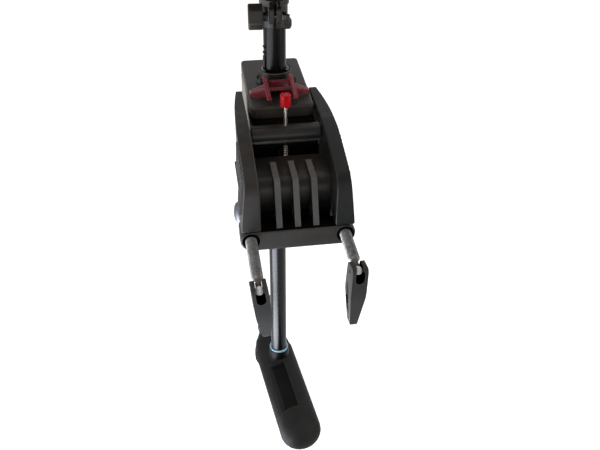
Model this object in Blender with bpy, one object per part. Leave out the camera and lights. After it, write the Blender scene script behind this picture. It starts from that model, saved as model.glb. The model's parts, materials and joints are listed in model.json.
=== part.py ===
"""Transom-mount electric trolling motor, built as an assembly of separate closed solids.

Metres, +Z up. The origin lies under the middle of the transom saddle, where the bracket sits on a
boat's transom. +Y points outboard (towards the water), -Y into the boat and +X to the right of
someone who stands in the boat and looks at the motor.
"""

import math

import bmesh
import bpy
from mathutils import Matrix, Vector

# Fits
SEAT_GAP = 0.0003
RUNNING_GAP = 0.0003
INDEX_GAP = 0.0004

# Shaft, steering sleeve and depth collar
SHAFT_Y = 0.160
SHAFT_RADIUS = 0.0143
SHAFT_WALL = 0.0030
SHAFT_TOP_Z = 0.246
SLEEVE_RADIUS = 0.0161
SLEEVE_BOTTOM_Z = -0.240
SLEEVE_TOP_Z = 0.150
SLEEVE_SHOULDER_HEIGHT = 0.0030
END_BUSH_HEIGHT = 0.012
END_BUSH_WALL = 0.0016
COLLAR_BOTTOM_Z = 0.134
COLLAR_HEIGHT = 0.046
COLLAR_RADIUS = 0.0190
COLLAR_FLANGE_RADIUS = 0.0247
COLLAR_FLANGE_LIFT = 0.005
COLLAR_FLANGE_HEIGHT = 0.008
COLLAR_LIP_RADIUS = 0.0208
COLLAR_LIP_HEIGHT = 0.009
COLLAR_YAW = math.radians(-4.4)
COLLAR_SLIT = 0.0030
EAR_REACH = 0.035
EAR_HALF_WIDTH = 0.0090
EAR_HEIGHT = 0.024
EAR_SCREW_REACH = 0.030
EAR_SCREW_LIFT = 0.028
COLLAR_SCREW_RADIUS = 0.0030
COLLAR_SCREW_PROUD = 0.005
COLLAR_NUT_RADIUS = 0.0062
COLLAR_NUT_THICKNESS = 0.0055
COLLAR_KNOB_RADIUS = 0.0180
COLLAR_KNOB_LENGTH = 0.020
COLLAR_KNOB_NECK_RADIUS = 0.0060
COLLAR_KNOB_NECK = 0.0075
COLLAR_KNOB_SIDES = 6
COLLAR_KNOB_TURN = math.radians(14.4)
COLLAR_KNOB_EDGE = 0.0022

# Clamp bracket
PLATE_INNER_X = 0.0485
PLATE_OUTER_X = 0.0725
PLATE_TOP_OUTER_X = 0.0680
PLATE_BACK_OUTER_X = 0.0575
PLATE_TOP_Z = 0.048
PLATE_SHOULDER_Y = 0.027
PLATE_BACK_Y = 0.152
PLATE_BACK_DROP = 0.002
PLATE_BACK_HEIGHT = 0.028
PLATE_FRONT_Y = -0.078
PLATE_BEND_Z = 0.026
PLATE_EDGE = 0.0018
SLOT_INNER_Y = -0.030
SLOT_OUTER_Y = 0.030
PLATE_SLOT_LIFT = 0.002
OUTER_LEG_DEPTH = 0.036
OUTER_LEG_BOTTOM_Z = -0.135
LEG_BOSS_RADIUS = 0.017
LEG_BOSS_PROUD = 0.0020
CROSSBAR_TOP_Z = -0.0452
CROSSBAR_HEIGHT = 0.0276
CROSSBAR_DEPTH = 0.026
CROSSBAR_EDGE = 0.0022
SADDLE_THICKNESS = 0.005
SADDLE_WALL = 0.010
RIB_COUNT = 3
RIB_PITCH = 0.024
RIB_THICKNESS = 0.0078
RIB_STAND_OFF = 0.030
RIB_LEAN = 0.020
RIB_TOP_Z = 0.0125
RIB_BACK_Y = -0.001
JAW_THICKNESS = 0.014
JAW_WEB_TOP_Z = 0.002
JAW_WEB_BACK = 0.030
JAW_WEB_THICKNESS = 0.006
JAW_WEB_SLOT = 0.0075
JAW_BOLT_Y = 0.048
JAW_BOLT_Z = -0.098
JAW_BOLT_RADIUS = 0.0050
JAW_BOSS_RADIUS = 0.0125
JAW_DOME_RADIUS = 0.0130
JAW_DOME_HEIGHT = 0.008
JAW_NUT_RADIUS = 0.0095
JAW_NUT_THICKNESS = 0.008

# Clamp screws and their folding handles
SCREW_SPACING = 0.124
SCREW_RADIUS = 0.0077
INSERT_WALL = 0.0032
LEFT_PAD_OPEN = 0.0038
RIGHT_PAD_OPEN = 0.0248
LEFT_LEAN = math.radians(-5.7)
RIGHT_LEAN = math.radians(4.0)
SCREW_REACH = 0.128
TANG_LENGTH = 0.016
TANG_WIDTH = 0.0084
TANG_HEIGHT = 0.0096
SCREW_TIP_RADIUS = 0.0050
SCREW_TIP_LENGTH = 0.0045
PAD_RADIUS = 0.0135
PAD_THICKNESS = 0.009
HANDLE_PIN_RADIUS = 0.0022
HANDLE_WIDTH = 0.0190
HANDLE_TIP_WIDTH = 0.0095
HANDLE_DEPTH = 0.025
HANDLE_TIP_DEPTH = 0.011
HANDLE_ABOVE_PIN = 0.0105
HANDLE_BELOW_PIN = 0.082
HANDLE_NOTCH_DEPTH = 0.0105
HANDLE_SIDE_PLAY = 0.0005

# Tilting head
PIVOT_Y = 0.046
PIVOT_Z = 0.028
HINGE_BAR_RADIUS = 0.0130
HINGE_BAR_END_PLAY = 0.0010
HINGE_STUB_RADIUS = 0.0080
HINGE_STUB_LENGTH = 0.0065
COVER_HALF_WIDTH = 0.0440
COVER_FRONT_Y = 0.072
COVER_BACK_Y = 0.237
COVER_BOTTOM_Z = 0.037
COVER_TOP_Z = 0.056
COVER_CORNER = 0.010
COVER_WALL = 0.003
COVER_EDGE = 0.003
CUP_RADIUS = 0.0236
CUP_WALL = 0.0014
CUP_TOP_Z = 0.0750
CUP_FOOT_RADIUS = 0.0280
CUP_FOOT_HEIGHT = 0.003
UPPER_BUSH_HEIGHT = 0.018
FRAME_SLAB_BOTTOM_Z = 0.0225
FRAME_STEP = 0.0015
FRAME_LIP_BOTTOM_Z = 0.011
FRAME_LIP_HEIGHT = 0.005
FRAME_LIP_FRONT = 0.010
FRAME_LIP_BACK = 0.016
GUIDE_TUBE_WALL = 0.0030
GUIDE_TUBE_BOTTOM_Z = -0.030
LOWER_BUSH_WALL = 0.0036
LOWER_BUSH_HEIGHT = 0.020

# Tilt release plunger and the fixed sector under it
KNOB_RADIUS = 0.0071
KNOB_BOTTOM_Z = 0.069
KNOB_HEIGHT = 0.0175
KNOB_DISH = 0.002
ROD_RADIUS = 0.0030
ROD_SOCKET = 0.011
ROD_TIP_RADIUS = 0.0019
ROD_TIP_Z = -0.020
ROD_FLANGE_RADIUS = 0.0050
ROD_FLANGE_HEIGHT = 0.0022
ROD_FLANGE_LIFT = 0.003
SPRING_WIRE = 0.0010
SPRING_RADIUS = 0.0029
SPRING_TURNS = 8
SPRING_POINTS = 9
SECTOR_HALF_WIDTH = 0.0050
SECTOR_DEPTH = 0.009
SECTOR_START = math.radians(-12)
SECTOR_END = math.radians(77)
SECTOR_NOTCHES = 4
SECTOR_NOTCH_STEP = math.radians(23)
SECTOR_NOTCH_RADIUS = 0.0026

# Steering lock lever
LEVER_PIVOT_REACH = 0.030
LEVER_PIVOT_LIFT = 0.0120
LEVER_BARREL_RADIUS = 0.0046
LEVER_PIN_RADIUS = 0.0024
LEVER_RIB_X = 0.0185
LEVER_RIB_WIDTH = 0.0060
LEVER_RIB_LENGTH = 0.058
LEVER_RIB_BACK_HEIGHT = 0.0085
LEVER_RIB_NOSE_DROP = 0.0035
LEVER_RIB_NOSE_HEIGHT = 0.0045
LEVER_BAR_FRONT = 0.032
LEVER_BAR_THICKNESS = 0.0042
LEVER_WING_X = 0.0420
LEVER_WING_FRONT = 0.030
LEVER_WING_BACK = 0.0115
LEVER_WING_SLOPE = 0.0085
LEVER_WING_THICKNESS = 0.0034
LEVER_LUG_WIDTH = 0.0040
LEVER_LUG_RADIUS = 0.0050

# Motor pod, with its own axis level and turned a little about the shaft
POD_YAW = math.radians(6.46)
POD_AXIS_Z = -0.5405
POD_RADIUS = 0.0347
POD_WALL = 0.0070
POD_FRONT = 0.137
POD_BACK = 0.039
NOSE_STRAIGHT = 0.0216
NOSE_LENGTH = 0.0304
POD_NECK_RADIUS = 0.0172
POD_NECK_TOP_Z = -0.4897
NECK_RING_RADIUS = 0.0178
NECK_RING_HEIGHT = 0.0057
SHAFT_IN_POD = 0.006
RECESS_HALF_WIDTH = 0.0140
RECESS_DEPTH = 0.0055
RECESS_FRONT_MARGIN = 0.004
RECESS_BACK = 0.024
SKEG_THICKNESS = 0.005
SKEG_FRONT = 0.030
SKEG_BACK = 0.036
SKEG_DROP = 0.044
SKEG_TIP_LENGTH = 0.026
END_BELL_LENGTH = 0.051
END_BELL_TAIL_RADIUS = 0.0150

# Motor inside the pod
MOTOR_SHAFT_RADIUS = 0.0050
MAGNET_THICKNESS = 0.0048
MAGNET_ARC = math.radians(140)
MAGNET_FRONT_MARGIN = 0.022
MAGNET_LENGTH = 0.090
ARMATURE_GAP = 0.0016
ARMATURE_LENGTH = 0.070
COMMUTATOR_RADIUS = 0.0110
COMMUTATOR_LENGTH = 0.018
COMMUTATOR_SPACING = 0.003
BRUSH_PLATE_THICKNESS = 0.006
BEARING_RADIUS = 0.0110
BEARING_WIDTH = 0.009
SEAL_RADIUS = 0.0090
SEAL_WIDTH = 0.0064

# Propeller
PROP_HUB_RADIUS = 0.0165
PROP_HUB_LENGTH = 0.030
PROP_CLEARANCE = 0.002
PROP_RADIUS = 0.100
PROP_BLADES = 2
PROP_ROOT_CHORD = 0.030
PROP_MID_CHORD = 0.034
PROP_TIP_CHORD = 0.016
PROP_ROOT_PITCH = math.radians(58)
PROP_TIP_PITCH = math.radians(24)
PROP_BLADE_THICKNESS = 0.0044
PROP_REST_ANGLE = math.radians(4)
DRIVE_PIN_RADIUS = 0.0020
DRIVE_PIN_LENGTH = 0.024
DRIVE_PIN_SETBACK = 0.008
PROP_NUT_RADIUS = 0.0090
PROP_NUT_THICKNESS = 0.008
MOTOR_SHAFT_PROUD = 0.003

# Control head
HEAD_BOTTOM_Z = 0.216
HEAD_HALF_WIDTH = 0.052
HEAD_FRONT = 0.078
HEAD_BACK = 0.070
HEAD_BASE_HEIGHT = 0.040
HEAD_COVER_HEIGHT = 0.050
HEAD_WALL = 0.003
HEAD_CORNER = 0.018
HEAD_EDGE = 0.005
HEAD_SOCKET_WALL = 0.004
HEAD_SOCKET_HEIGHT = 0.034
SWITCH_HALF_WIDTH = 0.018
SWITCH_LENGTH = 0.030
SWITCH_HEIGHT = 0.032
GLAND_RADIUS = 0.0085
GLAND_FLANGE_RADIUS = 0.0115
GLAND_FLANGE = 0.004
GLAND_LENGTH = 0.020
GLAND_BORE_RADIUS = 0.0045
GLAND_LIFT = 0.020

# Tiller
TILLER_LUG_REACH = 0.022
TILLER_LUG_WIDTH = 0.006
TILLER_LUG_RADIUS = 0.0120
TILLER_LIFT = 0.024
TILLER_PIN_RADIUS = 0.0040
TILLER_ROOT_WIDTH = 0.026
TILLER_REST_ANGLE = math.radians(18)
TILLER_RADIUS = 0.0125
TILLER_LENGTH = 0.175
GRIP_SPIGOT_RADIUS = 0.0080
GRIP_LENGTH = 0.115
GRIP_RADIUS = 0.0165

# Facets round a full turn
LARGE_ROUND = 24
MEDIUM_ROUND = 18
SMALL_ROUND = 12

# Places that follow from the sizes above
SHAFT_BORE = SHAFT_RADIUS + RUNNING_GAP
SLEEVE_BORE = SLEEVE_RADIUS + RUNNING_GAP
COLLAR_TOP_Z = COLLAR_BOTTOM_Z + COLLAR_HEIGHT
SCREW_X = SCREW_SPACING / 2
SCREW_Z = CROSSBAR_TOP_Z - CROSSBAR_HEIGHT / 2
CROSSBAR_BACK_Y = PLATE_FRONT_Y + CROSSBAR_DEPTH
LEFT_PIN_Y = CROSSBAR_BACK_Y + LEFT_PAD_OPEN - SEAT_GAP - SCREW_REACH
RIGHT_PIN_Y = CROSSBAR_BACK_Y + RIGHT_PAD_OPEN - SEAT_GAP - SCREW_REACH
LEG_BOTTOM_Z = CROSSBAR_TOP_Z + SEAT_GAP
BETWEEN_PLATES = PLATE_INNER_X - SEAT_GAP
OUTER_LEG_BACK_Y = SLOT_OUTER_Y + OUTER_LEG_DEPTH
PLATE_TAPER = (PLATE_TOP_OUTER_X - PLATE_BACK_OUTER_X) / (PLATE_BACK_Y - PLATE_SHOULDER_Y)
LEG_BOSS_X = PLATE_TOP_OUTER_X - PLATE_TAPER * (JAW_BOLT_Y - PLATE_SHOULDER_Y) + LEG_BOSS_PROUD
FRAME_TOP_Z = COVER_TOP_Z - COVER_WALL - SEAT_GAP
CUP_BORE = CUP_RADIUS - CUP_WALL
UPPER_BUSH_TOP_Z = FRAME_TOP_Z + SEAT_GAP + UPPER_BUSH_HEIGHT
GUIDE_BORE = SLEEVE_BORE + LOWER_BUSH_WALL + SEAT_GAP
SECTOR_INNER = PIVOT_Z - ROD_TIP_Z + INDEX_GAP
SECTOR_OUTER = SECTOR_INNER + SECTOR_DEPTH
JAW_TOP_Z = PIVOT_Z - SECTOR_OUTER - SEAT_GAP
ROD_FLANGE_Z = ROD_TIP_Z + ROD_FLANGE_LIFT
LEVER_PIVOT_Y = SHAFT_Y - LEVER_PIVOT_REACH
LEVER_PIVOT_Z = COVER_TOP_Z + LEVER_PIVOT_LIFT
POD_BORE = POD_RADIUS - POD_WALL
END_BELL_BACK = POD_BACK + SEAT_GAP + END_BELL_LENGTH
PROP_FRONT = END_BELL_BACK + PROP_CLEARANCE
PROP_BACK = PROP_FRONT + PROP_HUB_LENGTH
MOTOR_SHAFT_BACK = PROP_BACK + SEAT_GAP + PROP_NUT_THICKNESS + MOTOR_SHAFT_PROUD
MOTOR_BORE = MOTOR_SHAFT_RADIUS + SEAT_GAP
HEAD_SPLIT_Z = HEAD_BOTTOM_Z + HEAD_BASE_HEIGHT
TILLER_PIN_Y = -HEAD_FRONT - TILLER_LUG_REACH
TILLER_PIN_Z = HEAD_BOTTOM_Z + TILLER_LIFT

# Finishes: colour in linear light, roughness, metallic
BLACK_PLASTIC = ((0.022, 0.021, 0.020), 0.55, 0.0)
GREY_PLASTIC = ((0.075, 0.074, 0.072), 0.60, 0.0)
GLOSS_BLACK = ((0.006, 0.006, 0.007), 0.18, 0.0)
MAROON_PLASTIC = ((0.150, 0.020, 0.035), 0.40, 0.0)
RED_PLASTIC = ((0.620, 0.012, 0.024), 0.35, 0.0)
BLUE_RUBBER = ((0.250, 0.440, 0.530), 0.50, 0.0)
ZINC_STEEL = ((0.560, 0.560, 0.550), 0.32, 1.0)
DARK_STEEL = ((0.180, 0.175, 0.170), 0.40, 1.0)
BRONZE = ((0.520, 0.330, 0.140), 0.38, 1.0)
COPPER = ((0.640, 0.270, 0.120), 0.35, 1.0)
FERRITE = ((0.045, 0.044, 0.046), 0.70, 0.0)
RUBBER = ((0.012, 0.012, 0.012), 0.80, 0.0)


def clear_scene():
    """Removes every object of the scene."""
    for obj in list(bpy.data.objects):
        bpy.data.objects.remove(obj, do_unlink=True)


def finish_material(name, finish):
    """A Principled material of one finish."""
    colour, roughness, metallic = finish
    material = bpy.data.materials.new(name)
    material.use_nodes = True
    shader = material.node_tree.nodes["Principled BSDF"]
    shader.inputs["Base Color"].default_value = (*colour, 1.0)
    shader.inputs["Roughness"].default_value = roughness
    shader.inputs["Metallic"].default_value = metallic
    material.diffuse_color = (*colour, 1.0)
    return material


def add_frame(name, location, rotation=(0.0, 0.0, 0.0), parent=None):
    """An empty that holds a sub-assembly's axis."""
    empty = bpy.data.objects.new(name, None)
    empty.empty_display_size = 0.02
    empty.location = location
    empty.rotation_euler = rotation
    empty.parent = parent
    bpy.context.scene.collection.objects.link(empty)
    return empty


def add_solid(name, bm, finish, parent=None, smooth_angle=38):
    """Makes a named object of a finished bmesh; without a finish it is a helper that isn't rendered."""
    bmesh.ops.remove_doubles(bm, verts=bm.verts[:], dist=1e-6)
    bmesh.ops.recalc_face_normals(bm, faces=bm.faces[:])
    mesh = bpy.data.meshes.new(name)
    bm.to_mesh(mesh)
    bm.free()
    mesh.shade_smooth()
    mesh.set_sharp_from_angle(angle=math.radians(smooth_angle))
    obj = bpy.data.objects.new(name, mesh)
    obj.parent = parent
    bpy.context.scene.collection.objects.link(obj)
    if finish is None:
        obj.hide_render = True
        obj.display_type = "WIRE"
    else:
        mesh.materials.append(finish_material(name + "_finish", finish))
    return obj


def turn_to(axis):
    """The turn that takes local +Z to a named axis."""
    if axis == "X":
        return Matrix.Rotation(math.radians(90), 4, "Y")
    if axis == "Y":
        return Matrix.Rotation(math.radians(-90), 4, "X")
    return Matrix.Identity(4)


def turned(name, profile, finish, axis="Z", centre=(0.0, 0.0, 0.0), facets=MEDIUM_ROUND, parent=None):
    """Spins a profile of (radius, height) points about an axis.

    A profile that starts and ends on the axis makes a solid piece; any other is closed into a ring.
    """
    bm = bmesh.new()
    points = [bm.verts.new((radius, 0.0, height)) for radius, height in profile]
    edges = [bm.edges.new(pair) for pair in zip(points, points[1:])]
    if profile[0][0] > 0:
        edges.append(bm.edges.new((points[-1], points[0])))
    bmesh.ops.spin(
        bm, geom=points + edges, axis=(0, 0, 1), cent=(0, 0, 0), angle=math.tau, steps=facets
    )
    bmesh.ops.transform(bm, matrix=Matrix.Translation(centre) @ turn_to(axis), verts=bm.verts[:])
    return add_solid(name, bm, finish, parent)


def rod(name, radius, low, high, finish, axis="Z", centre=(0.0, 0.0, 0.0), facets=SMALL_ROUND, parent=None):
    """A plain round bar from low to high along an axis."""
    profile = [(0.0, high), (radius, high), (radius, low), (0.0, low)]
    return turned(name, profile, finish, axis, centre, facets, parent)


def ring(name, inner, outer, low, high, finish, axis="Z", centre=(0.0, 0.0, 0.0), facets=MEDIUM_ROUND,
         parent=None):
    """A plain bush or washer from low to high along an axis."""
    profile = [(inner, high), (outer, high), (outer, low), (inner, low)]
    return turned(name, profile, finish, axis, centre, facets, parent)


def arc(centre, radius, start, end, steps):
    """Points of an arc about a centre, with angles counted from the first axis."""
    return [
        (
            centre[0] + radius * math.cos(start + (end - start) * step / steps),
            centre[1] + radius * math.sin(start + (end - start) * step / steps),
        )
        for step in range(steps + 1)
    ]


def filleted(corners, steps=4):
    """An outline whose corners (u, v, radius) are rounded as far as their sides allow."""
    outline = []
    count = len(corners)
    for index, (u, v, radius) in enumerate(corners):
        corner = Vector((u, v))
        before = Vector(corners[index - 1][:2]) - corner
        after = Vector(corners[(index + 1) % count][:2]) - corner
        half = before.angle(after) / 2
        reach = min(radius / math.tan(half), 0.49 * before.length, 0.49 * after.length)
        if reach < 1e-5:
            outline.append((u, v))
            continue
        start = corner + before.normalized() * reach
        end = corner + after.normalized() * reach
        for step in range(steps + 1):
            share = step / steps
            bend = start.lerp(corner, share).lerp(corner.lerp(end, share), share)
            outline.append(tuple(bend))
    return outline


def rectangle(low_u, high_u, low_v, high_v, radius, steps=4):
    """A rectangle's outline with rounded corners."""
    corners = [(low_u, low_v, radius), (high_u, low_v, radius), (high_u, high_v, radius), (low_u, high_v, radius)]
    return filleted(corners, steps)


def prism(name, outline, low, high, finish, axis="X", parent=None, crown=0.0):
    """Extrudes an outline along an axis, with the edge round its far end rounded by crown.

    The outline's points are (Y, Z), (X, Z) or (X, Y) for axis X, Y or Z.
    """
    places = {"X": lambda u, v: (low, u, v), "Y": lambda u, v: (u, low, v), "Z": lambda u, v: (u, v, low)}
    bm = bmesh.new()
    face = bm.faces.new([bm.verts.new(places[axis](u, v)) for u, v in outline])
    grown = bmesh.ops.extrude_face_region(bm, geom=[face])
    moved = [item for item in grown["geom"] if isinstance(item, bmesh.types.BMVert)]
    step = Vector(["XYZ".index(axis) == index for index in range(3)]) * (high - low)
    bmesh.ops.translate(bm, verts=moved, vec=step)
    if crown > 0:
        bmesh.ops.recalc_face_normals(bm, faces=bm.faces[:])
        rim = [edge for edge in bm.edges if all(vert in moved for vert in edge.verts)]
        bmesh.ops.bevel(bm, geom=rim, offset=crown, segments=3, profile=0.5, affect="EDGES")
    return add_solid(name, bm, finish, parent)


def boolean(target, other, operation):
    """Adds a Boolean to a piece and returns the piece."""
    modifier = target.modifiers.new(operation.lower() + "_" + other.name, "BOOLEAN")
    modifier.operation = operation
    modifier.object = other
    return target


def cut(target, *others):
    """Takes helper shapes away from a piece."""
    for other in others:
        boolean(target, other, "DIFFERENCE")
    return target


def join(target, *others):
    """Adds helper shapes to a piece."""
    for other in others:
        boolean(target, other, "UNION")
    return target


def soften(target, width, segments=2, angle=35):
    """Rounds the edges of a piece."""
    modifier = target.modifiers.new("soften", "BEVEL")
    modifier.width = width
    modifier.segments = segments
    modifier.limit_method = "ANGLE"
    modifier.angle_limit = math.radians(angle)
    return target


def hex_nut(name, bore, radius, low, high, finish, axis, centre=(0.0, 0.0, 0.0), parent=None):
    """A six-sided nut with a round bore."""
    nut = rod(name, radius, low, high, finish, axis, centre, 6, parent)
    length = high - low
    return cut(nut, rod(name + "_bore", bore, low - length, high + length, None, axis, centre, parent=parent))


def side_plate(name, side):
    """One cheek of the bracket: rail, inboard leg, transom slot and outboard leg, tapered outside."""
    outline = filleted([
        (PLATE_BACK_Y, PLATE_TOP_Z - PLATE_BACK_DROP, 0.004),
        (PLATE_SHOULDER_Y, PLATE_TOP_Z, 0.400),
        (PLATE_FRONT_Y, PLATE_BEND_Z, 0.024),
        (PLATE_FRONT_Y, LEG_BOTTOM_Z, 0.0),
        (SLOT_INNER_Y, LEG_BOTTOM_Z, 0.004),
        (SLOT_INNER_Y, PLATE_SLOT_LIFT, 0.005),
        (SLOT_OUTER_Y, PLATE_SLOT_LIFT, 0.005),
        (SLOT_OUTER_Y, OUTER_LEG_BOTTOM_Z, 0.006),
        (OUTER_LEG_BACK_Y, OUTER_LEG_BOTTOM_Z, 0.014),
        (OUTER_LEG_BACK_Y, -PLATE_BACK_HEIGHT / 2, 0.030),
        (PLATE_BACK_Y, PLATE_TOP_Z - PLATE_BACK_DROP - PLATE_BACK_HEIGHT, 0.006),
    ])
    low, high = sorted((side * PLATE_INNER_X, side * PLATE_OUTER_X))
    plate = prism(name, outline, low, high, BLACK_PLASTIC)
    soften(plate, PLATE_EDGE)
    cut(plate, taper_cutter(name, side), flare_cutter(name, side))
    boss_low, boss_high = sorted((side * (PLATE_INNER_X + SEAT_GAP), side * LEG_BOSS_X))
    boss = rod(name + "_boss", LEG_BOSS_RADIUS, boss_low, boss_high, None, "X", (0, JAW_BOLT_Y, JAW_BOLT_Z),
               MEDIUM_ROUND)
    join(plate, boss)
    stub_low, stub_high = sorted((side * PLATE_INNER_X / 2, side * (BETWEEN_PLATES + HINGE_STUB_LENGTH)))
    socket = rod(name + "_socket", HINGE_STUB_RADIUS + RUNNING_GAP, stub_low, stub_high, None, "X",
                 (0, PIVOT_Y, PIVOT_Z), MEDIUM_ROUND)
    hole_low, hole_high = sorted((side * PLATE_INNER_X / 2, side * LEG_BOSS_X * 2))
    hole = rod(name + "_bolt_hole", JAW_BOLT_RADIUS + SEAT_GAP, hole_low, hole_high, None, "X",
               (0, JAW_BOLT_Y, JAW_BOLT_Z))
    return cut(plate, socket, hole)


def taper_cutter(name, side):
    """The wedge that thins a side plate towards its back end."""
    front = PLATE_SHOULDER_Y - (PLATE_OUTER_X - PLATE_TOP_OUTER_X) / PLATE_TAPER - PLATE_BACK_Y
    back = PLATE_BACK_Y * 2
    outside = PLATE_OUTER_X * 2

    def face_x(y):
        return PLATE_TOP_OUTER_X - PLATE_TAPER * (y - PLATE_SHOULDER_Y)

    outline = [(face_x(front), front), (outside, front), (outside, back), (face_x(back), back)]
    outline = [(side * x, y) for x, y in outline]
    return prism(name + "_taper", outline, OUTER_LEG_BOTTOM_Z * 2, PLATE_TOP_Z * 2, None, "Z")


def flare_cutter(name, side):
    """The wedge that narrows a side plate towards its top rail."""
    slope = (PLATE_OUTER_X - PLATE_TOP_OUTER_X) / (PLATE_TOP_Z - LEG_BOTTOM_Z)
    top = PLATE_TOP_Z * 2
    outside = PLATE_OUTER_X * 2
    outline = [(PLATE_OUTER_X, LEG_BOTTOM_Z), (outside, LEG_BOTTOM_Z), (outside, top),
               (PLATE_OUTER_X - slope * (top - LEG_BOTTOM_Z), top)]
    outline = [(side * x, z) for x, z in outline]
    return prism(name + "_flare", outline, PLATE_FRONT_Y * 2, PLATE_BACK_Y * 2, None, "Y")


def ribbed_saddle():
    """The web that sits on the transom: a curved wall and top with ribs standing on them."""
    wall_front = SLOT_INNER_Y - SADDLE_WALL
    outline = filleted([
        (SLOT_INNER_Y, LEG_BOTTOM_Z, 0.0),
        (SLOT_INNER_Y, 0.0, 0.003),
        (SLOT_OUTER_Y - SEAT_GAP, 0.0, 0.0),
        (SLOT_OUTER_Y - SEAT_GAP, SADDLE_THICKNESS, 0.002),
        (wall_front, SADDLE_THICKNESS, 0.018),
        (wall_front, LEG_BOTTOM_Z, 0.0),
    ], steps=5)
    saddle = prism("ribbed_saddle", outline, -BETWEEN_PLATES, BETWEEN_PLATES, GREY_PLASTIC)
    front = wall_front - RIB_STAND_OFF
    rib_outline = filleted([
        (SLOT_INNER_Y - SADDLE_WALL / 2, LEG_BOTTOM_Z, 0.0),
        (SLOT_INNER_Y - SADDLE_WALL / 2, SADDLE_THICKNESS / 2, 0.0),
        (RIB_BACK_Y + RIB_TOP_Z - SADDLE_THICKNESS, SADDLE_THICKNESS / 2, 0.0),
        (RIB_BACK_Y, RIB_TOP_Z, 0.002),
        (front + RIB_LEAN, RIB_TOP_Z, 0.003),
        (front, LEG_BOTTOM_Z, 0.0),
    ], steps=2)
    for index in range(RIB_COUNT):
        middle = (index - (RIB_COUNT - 1) / 2) * RIB_PITCH
        rib = prism(f"saddle_rib_{index}", rib_outline, middle - RIB_THICKNESS / 2, middle + RIB_THICKNESS / 2, None)
        join(saddle, rib)
    return saddle


def clamp_crossbar():
    """The bar below the side plates that carries both clamp screws, with round ends."""
    half = CROSSBAR_HEIGHT / 2
    outline = arc((SCREW_X, SCREW_Z), half, -math.pi / 2, math.pi / 2, 10)
    outline += arc((-SCREW_X, SCREW_Z), half, math.pi / 2, 3 * math.pi / 2, 10)
    bar = prism("clamp_crossbar", outline, PLATE_FRONT_Y, CROSSBAR_BACK_Y, BLACK_PLASTIC, "Y")
    soften(bar, CROSSBAR_EDGE)
    for side_name, side in (("left", -1), ("right", 1)):
        place = (side * SCREW_X, 0, SCREW_Z)
        bore = rod(side_name + "_insert_bore", SCREW_RADIUS + RUNNING_GAP + INSERT_WALL + SEAT_GAP,
                   PLATE_FRONT_Y * 2, -PLATE_FRONT_Y, None, "Y", place, MEDIUM_ROUND)
        cut(bar, bore)
        ring(side_name + "_thread_insert", SCREW_RADIUS + RUNNING_GAP, SCREW_RADIUS + RUNNING_GAP + INSERT_WALL,
             PLATE_FRONT_Y, CROSSBAR_BACK_Y, DARK_STEEL, "Y", place)
    return bar


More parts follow.
